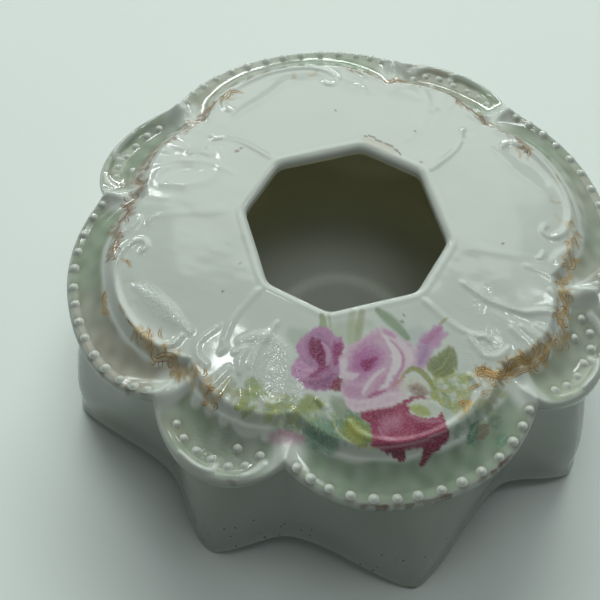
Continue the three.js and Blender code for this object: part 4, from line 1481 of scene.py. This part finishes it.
# firing specks and a purple dash: place, radius, tone
specks = [
    (-17.5, 26.9, 0.5, "#8a5a74"), (-16.4, 27.4, 0.35, "#8a5a74"), (21.1, 12.3, 0.3, "#6d6152"),
    (-29.4, -9, 0.3, "#6d6152"), (22.9, 21.9, 0.3, "#5d5548"), (7.4, 32.9, 0.28, "#7d705f"),
    (-24.1, -3.5, 0.25, "#7d705f"), (5.1, -24.6, 0.25, "#4d5248"), (31.5, -12.4, 0.3, "#7d705f"),
]


def paintParts(layer, parts, seed=0):
    for index, (kind, places, *values) in enumerate(parts):
        if kind == "stroke":
            paintStroke(layer, places, *values)
        else:
            paintShape(layer, places, *values, seed + 3 * index)


def paintRoses(layer):
    for x, y, length, width, turn, strength, tone in groundPatches:
        chosen = around(layer, x, y, length * 1.5)
        u, v = turned(layer, chosen, x, y, turn)
        away = np.hypot(u / length, v / width) + 0.25 * ripple(layer["x"][chosen], layer["y"][chosen], 3, 31)
        paint(layer, chosen, strength * smooth((1.3 - away) / 0.9), tone)
    paintParts(layer, stemPaint)
    for spray in leafSprays:
        paintSprays(layer, *spray)
    for x, y in whiteFlowers:
        paintPetal(layer, x, y, 0.8, 0.6, 30, "#b3bda8", "#cdd3c4", "#dde1d6", 0.4, 0.3, int(x * 10))
    paintParts(layer, budPaint)
    for leaf in edgeLeaves:
        paintLeaf(layer, *leaf)
    for seed, parts in enumerate((lilacPaint, mauvePaint, crimsonPaint, leafPaint, palePaint, calyxPaint)):
        paintParts(layer, parts, 400 + 60 * seed)
    paintSprays(layer, *calyxSpray)


# where the print and the glaze lie grainy and glitter: place, reach along and across, turn, strength
grainPlaces = [
    (-42.3, -8.0, 9.0, 2.2, -63, 1.0), (-24.0, -26.9, 6.0, 7.0, 20, 0.8), (-21.4, -33.0, 4.5, 6.0, 10, 1.0),
    (18.7, -35.0, 5.0, 3.5, 30, 0.9), (21.9, -24.7, 4.5, 2.0, 50, 0.7), (-3.0, -44.6, 12.0, 3.2, 4, 0.8),
    (-38.5, -39.5, 7.0, 4.0, -45, 0.7), (-14.0, -40.5, 7.0, 3.5, -20, 0.6), (8.0, -42.5, 5.0, 3.5, 30, 0.6),
]


def paintGrain(data, layer):
    # how grainy the glaze is, for each vertex
    grain = np.zeros(len(layer["x"]))
    for px, py, along, across, turn, strength in grainPlaces:
        u, v = turned(layer, slice(None), px, py, turn)
        grain = np.maximum(grain, strength * smooth((1.25 - np.hypot(u / along, v / across)) / 0.7))
    storeLayer(data, "grain", grain)


def paintBeadShade(layer):
    # painted shade: a brownish ring round the foot of each bead, and plain white under the bead itself
    for px, py, radius, _ in beadSpots():
        chosen = around(layer, px, py, radius * 2.2)
        away = np.hypot(layer["x"][chosen] - px, layer["y"][chosen] - py) / radius
        ring = smooth((away - 0.75) / 0.25) * smooth((1.75 - away) / 0.8)
        paint(layer, chosen, 0.5 * ring, markTones["beadShade"])
        paint(layer, chosen, 0.8 * smooth((0.85 - away) / 0.2), glazeSettings["white"])


def paintGilding(layer):
    # lustre brushed along the border and over each stroke of it, under the fine lines
    size = gildSizes
    halfWidth, inner, outer = size["washArea"]
    for name, route in gildRoutes.items():
        wash = size["washFront" if name.startswith("front") else "washBack"]
        path = smoothPath([(u, v, size["washWidth"]) for u, v in route], 10)
        path[:, 1] += size["washWave"] * np.sin(np.arange(len(path)) * size["washPace"])
        u, v = lobeFrame(layer["x"], layer["y"], smallAngles[name])
        chosen = np.flatnonzero((np.abs(u) < halfWidth) & (v > inner) & (v < outer))
        away = nearPath(u[chosen], v[chosen], path)[0]
        x, y = layer["x"][chosen], layer["y"][chosen]
        broken = smooth(0.4 + 1.1 * ripple(x, y, 1.7, 81) + 0.5 * ripple(x, y, 5.5, 82))
        tone = hexMix(*wash["tones"], 0.5 + 0.8 * ripple(x, y, 2.4, 83))
        paint(layer, chosen, wash["wash"] * broken * smooth((1.25 - away) / 0.7), tone)
    for index, (count, points, tone) in enumerate(gildStrokes()):
        # each stroke has its own share of gold and of strength, spread evenly by two irrational steps
        wash = size["washFront" if tone > size["frontTone"] else "washBack"]
        dark, light = (np.array(linearColour(colour)[:3]) for colour in wash["tones"])
        stroke = [(x, y, 0.14 + 0.08 * count + 0.4 * spread) for x, y, spread in points]
        strength = wash["stroke"] * (0.2 + 0.8 * (index * 0.381966 % 1))
        paintStroke(layer, stroke, mix(dark, light, 0.3 + 0.7 * (index * 0.618 % 1)), strength, 1.0)


def paintSpecks(layer):
    for x, y, size, colour in specks:
        chosen = around(layer, x, y, 2)
        away = np.hypot(layer["x"][chosen] - x, layer["y"][chosen] - y) / size
        paint(layer, chosen, 0.8 * smooth((1.3 - away) / 0.6), colour)
    wear = edgeWear
    chance = random.Random(8)
    for _ in range(wear["count"]):
        angle = math.radians(chance.choice([chance.uniform(*wear["frontAngles"]), chance.uniform(0, 360)]))
        reach = edgeAt(np.array([math.degrees(angle)]))[0][0] - wear["inset"]
        half, away = chance.uniform(*wear["halfLengths"]), math.pi / 2 + angle
        x, y = reach * math.cos(angle), reach * math.sin(angle)
        dx, dy = half * math.cos(away), half * math.sin(away)
        ends = [(x - dx, y - dy, wear["widths"][0]), (x + dx, y + dy, wear["widths"][1])]
        paintStroke(layer, ends, markTones["worn"], chance.uniform(*wear["strengths"]))


def paintLid(data):
    # the painting is stored as a colour for each vertex, with the print's cover as its fourth value
    x, y, z = vertexPlaces(data).T / mm
    white = np.array(linearColour(glazeSettings["white"])[:3])
    layer = {"x": x, "y": y, "colour": np.tile(white, (len(x), 1)), "cover": np.zeros(len(x)),
             "bare": 1 - reliefAt(x, y)[1]}
    paintTint(layer)
    paintGilding(layer)
    paintRoses(layer)
    paintParts(layer, crestPaint)
    paintBeadShade(layer)
    paintSpecks(layer)
    paintParts(layer, chipPaint)
    # nothing is painted on the hidden side; within the flange it takes the bowl's warm inside tone, which is
    # also lightened as painted light
    angle, radius = np.degrees(np.arctan2(y, x)), np.hypot(x, y)
    hidden = z < topHeight(angle, radius) - glazeSettings["skinDepth"]
    layer["colour"][hidden], layer["cover"][hidden] = white, 0
    withinFlange = radius < lidForm["flangeRadius"] + 0.5
    layer["colour"][hidden & withinFlange] = linearColour(bowlGlaze["inside"])[:3]
    storeLayer(data, "painting", layer["colour"], layer["cover"])
    paintGrain(data, layer)


def glazeSurface(tree, place, colour, grain=None):
    # clear glaze: lies in soft waves, with fine pits, and with wrinkles where it is grainy
    settings = glazeSettings
    wave = addNode(tree, "TexNoise", {"Scale": settings["waveScale"], "Detail": 2, "Roughness": 0.4},
                   {"Vector": place})
    pits = addNode(tree, "TexNoise", {"Scale": settings["pitScale"], "Detail": 2}, {"Vector": place})
    height = addNode(tree, "Math", {"operation": "MULTIPLY_ADD", 1: settings["pitShare"]},
                     {0: pits.outputs["Fac"], 2: wave.outputs["Fac"]})
    if grain:
        wrinkle = addNode(tree, "TexNoise", {"Scale": settings["wrinkleScale"], "Detail": 1,
                          "Distortion": settings["wrinkleTwist"]}, {"Vector": place})
        rough = addNode(tree, "Math", {"operation": "MULTIPLY"}, {0: wrinkle.outputs["Fac"], 1: grain})
        height = addNode(tree, "Math", {"operation": "MULTIPLY_ADD", 1: settings["wrinkleShare"]},
                         {0: rough.outputs[0], 2: height.outputs[0]})
    bump = addNode(tree, "Bump", {"Strength": settings["dip"], "Distance": 0.001},
                   {"Height": height.outputs[0]})
    low, high = settings["roughness"] * 0.75, settings["roughness"] * 1.6
    grease = addNode(tree, "MapRange", {"From Min": 0.3, "From Max": 0.75, "To Min": low, "To Max": high},
                     {"Value": wave.outputs["Fac"]})
    surface = addNode(tree, "BsdfPrincipled", {"IOR": 1.5},
                      {"Base Color": colour, "Roughness": grease.outputs[0], "Normal": bump.outputs[0]})
    addNode(tree, "OutputMaterial", links={"Surface": surface.outputs[0]})


# glaze of the bowl: outside, inside, and the dark pinholes in it. A worn place has its x, y, reach,
# height and strength; a cluster of pinholes has its x, y, z, reach and half height.
bowlGlaze = {
    # the outside is greyer than the lid's white, and darker still as painted shade on the walls
    "outside": "#bec5bd",
    # painted highlight: a lighter band along the bottom edge, where it catches the light
    "hem": "#dde3dc",
    "stain": "#b5b09a",
    # the inside is warm, and lighter than the lid's white as painted light in the shaded bowl
    "inside": "#eeebd2",
    "floor": "#cfd4cb",
    # painted highlight on the raised ring of the floor
    "ring": "#eef2e8",
    "pinhole": "#3d3a33",
    "worn": "#7a6247",
    "floorFade": (46, 20),
    "ringHighlightSoftness": (2.6, 2.2),
    "stainShare": 0.16,
    "stainSize": 12,
    "stainTop": (16, 14),
    "hemHighlightTop": 1.5,
    "hemHighlightSoftness": 1.1,
    "pinholeSpacing": 2.2,
    "wornPlaces": [(-2.0, -63.2, 2.0, 1.6, 0.8), (3.4, -60.8, 2.6, 1.8, 0.4), (-41.5, -43.5, 1.2, 1.2, 0.5)],
    "pinholePlaces": [(-30, -47, 10, 22, 9), (-12, -56, 4, 14, 6), (4, -58, 14, 14, 8), (22, -54, 9, 10, 8),
                      (38, -40, 12, 8, 8)],
}


def paintBowl(data):
    # colour of the glaze for each vertex, with the share of pinholes as its fourth value
    form, glaze = bowlForm, bowlGlaze
    x, y, z = vertexPlaces(data).T / mm
    angle, radius = np.degrees(np.arctan2(y, x)), np.hypot(x, y)
    floor = form["archHeight"] + form["floorLift"] + form["floorThickness"]
    inside = (radius < wallAt(angle, z) - form["wall"] * 0.4) & (z > floor - 1)
    # the outside is painted darker as painted shade, the inside lighter as painted light
    inner, outer = (linearColour(glaze[side])[:3] for side in ("inside", "outside"))
    layer = {"x": x, "y": y, "cover": np.zeros(len(x)), "colour": np.where(inside[:, None], inner, outer)}
    # a lighter ring painted over the raised ring on the floor: a painted highlight where it catches the light
    onFloor = np.flatnonzero(inside & (z < floor + 2))
    fromRing = np.abs(radius[onFloor] - form["ringRadius"])
    paint(layer, onFloor, fading(radius[onFloor], *glaze["floorFade"]), glaze["floor"])
    paint(layer, onFloor, 0.9 * fading(fromRing, *glaze["ringHighlightSoftness"]), glaze["ring"])
    outside = np.flatnonzero(~inside)
    stain = glaze["stainShare"] * smooth(0.5 + ripple(x, y + z, glaze["stainSize"], 61))[outside]
    paint(layer, outside, stain * fading(z[outside], *glaze["stainTop"]), glaze["stain"])
    # painted highlight along the bottom edge of the skirt
    hemHighlightTop = skirtAt(angle)[1][outside] + glaze["hemHighlightTop"]
    paint(layer, outside, 0.9 * fading(z[outside], hemHighlightTop, glaze["hemHighlightSoftness"]), glaze["hem"])
    for px, py, reach, height, strength in glaze["wornPlaces"]:
        away = np.hypot(np.hypot(x - px, y - py) / reach, z / height)
        paint(layer, outside, strength * smooth((1.2 - away) / 0.5)[outside], glaze["worn"])
    pinholes = np.zeros(len(x))
    for px, py, height, reach, tall in glaze["pinholePlaces"]:
        away = np.hypot(np.hypot(x - px, y - py) / reach, (z - height) / tall)
        pinholes = np.maximum(pinholes, smooth((1.2 - away) / 0.8))
    pinholes[inside] = 0
    storeLayer(data, "bowlTone", layer["colour"], pinholes)


def makeBeadGlaze():
    # glazed hard-paste porcelain: slip cast, fired, dipped in clear glaze and fired again
    material, tree, place = newMaterial("whitePorcelain")
    cloud = addNode(tree, "TexNoise", {"Scale": glazeSettings["cloudScale"], "Detail": 4}, {"Vector": place})
    low, high = (linearColour(colour) for colour in glazeSettings["beadTones"])
    tone = addNode(tree, "Mix", {"data_type": "RGBA", 6: low, 7: high}, {0: cloud.outputs["Fac"]})
    glazeSurface(tree, place, tone.outputs[2])
    return material


def makeBowlGlaze():
    # the same porcelain and glaze, with the pinholes that gas leaves in it
    material, tree, place = newMaterial("glazedPorcelain")
    cloud = addNode(tree, "TexNoise", {"Scale": glazeSettings["cloudScale"], "Detail": 4}, {"Vector": place})
    ground = addNode(tree, "Attribute", {"attribute_name": "bowlTone"})
    shade = addNode(tree, "MapRange", {"To Min": 0.96, "To Max": 1.03}, {"Value": cloud.outputs["Fac"]})
    tone = addNode(tree, "VectorMath", {"operation": "SCALE"},
                   {0: ground.outputs["Color"], "Scale": shade.outputs[0]})
    spots = addNode(tree, "TexVoronoi", {"Scale": 1000 / bowlGlaze["pinholeSpacing"]}, {"Vector": place})
    chosen = addNode(tree, "SeparateColor", links={0: spots.outputs["Color"]})
    # only some cells hold a pinhole, more of them in the clusters
    few = addNode(tree, "Math", {"operation": "MULTIPLY", 1: 0.8}, {0: ground.outputs["Alpha"]})
    held = addNode(tree, "Math", {"operation": "LESS_THAN"}, {0: chosen.outputs[0], 1: few.outputs[0]})
    dot = addNode(tree, "MapRange", {"From Min": 0.1, "From Max": 0.16, "To Min": 0.92, "To Max": 0},
                  {"Value": spots.outputs["Distance"]})
    dark = addNode(tree, "Math", {"operation": "MULTIPLY"}, {0: dot.outputs[0], 1: held.outputs[0]})
    spotted = addNode(tree, "Mix", {"data_type": "RGBA", 7: linearColour(bowlGlaze["pinhole"])},
                      {0: dark.outputs[0], 6: tone.outputs[0]})
    glazeSurface(tree, place, spotted.outputs[2])
    return material


def makeGoldMaterial():
    # brown transfer print with liquid bright gold brushed over it and fired low; rubbed through in places
    material, tree, place = newMaterial("wornBrightGold")
    printed = addNode(tree, "Attribute", {"attribute_name": "printTone"})
    patches = addNode(tree, "TexNoise", {"Scale": glazeSettings["goldScale"], "Detail": 3}, {"Vector": place})
    worn = addNode(tree, "MapRange", {"From Min": 0.3, "From Max": 0.7, "To Min": -0.4, "To Max": 0.4},
                   {"Value": patches.outputs["Fac"]})
    share = addNode(tree, "Math", {"operation": "ADD", "use_clamp": True},
                    {0: printed.outputs["Fac"], 1: worn.outputs[0]})
    brown, gold = (linearColour(colour) for colour in gildSizes["lineTones"])
    tone = addNode(tree, "Mix", {"data_type": "RGBA", 6: brown, 7: gold}, {0: share.outputs[0]})
    metal = addNode(tree, "MapRange", {"From Min": 0.45, "From Max": 1.0, "To Min": 0.0, "To Max": 0.75},
                    {"Value": share.outputs[0]})
    surface = addNode(tree, "BsdfPrincipled", {"Roughness": gildSizes["roughness"]},
                      {"Base Color": tone.outputs[2], "Metallic": metal.outputs[0]})
    addNode(tree, "OutputMaterial", links={"Surface": surface.outputs[0]})
    return material


def makePaintedGlaze():
    # the same porcelain, tinted at the edge and printed with roses: transfer print, touched up by hand
    material, tree, place = newMaterial("paintedPorcelain")
    painting = addNode(tree, "Attribute", {"attribute_name": "painting"})
    grain = addNode(tree, "TexNoise", {"Scale": glazeSettings["printScale"], "Detail": 2}, {"Vector": place})
    worn = addNode(tree, "MapRange", {"From Min": 0.42, "From Max": 0.75, "To Min": 0, "To Max": 0.2},
                   {"Value": grain.outputs["Fac"]})
    patches = addNode(tree, "Math", {"operation": "MULTIPLY"},
                      {0: worn.outputs[0], 1: painting.outputs["Alpha"]})
    colour = addNode(tree, "Mix", {"data_type": "RGBA", 7: linearColour(glazeSettings["rubbed"])},
                     {0: patches.outputs[0], 6: painting.outputs["Color"]})
    grainy = addNode(tree, "Attribute", {"attribute_name": "grain"})
    glazeSurface(tree, place, colour.outputs[2], grainy.outputs["Fac"])
    return material


paintedGlaze = makePaintedGlaze()
lidData = makeLidMesh()
paintLid(lidData)
print("lid made and painted:", len(lidData.polygons), "faces")
addPiece(lidData, "lid", paintedGlaze, "lid")
bowlData = makeBowlMesh()
paintBowl(bowlData)
print("bowl made:", len(bowlData.polygons), "faces")
addPiece(bowlData, "bowl", makeBowlGlaze(), "bowl")
addPiece(makeBeads(), "lid", makeBeadGlaze())
addPiece(makeGilding(), "lid", makeGoldMaterial())
print("beads and gilding made")
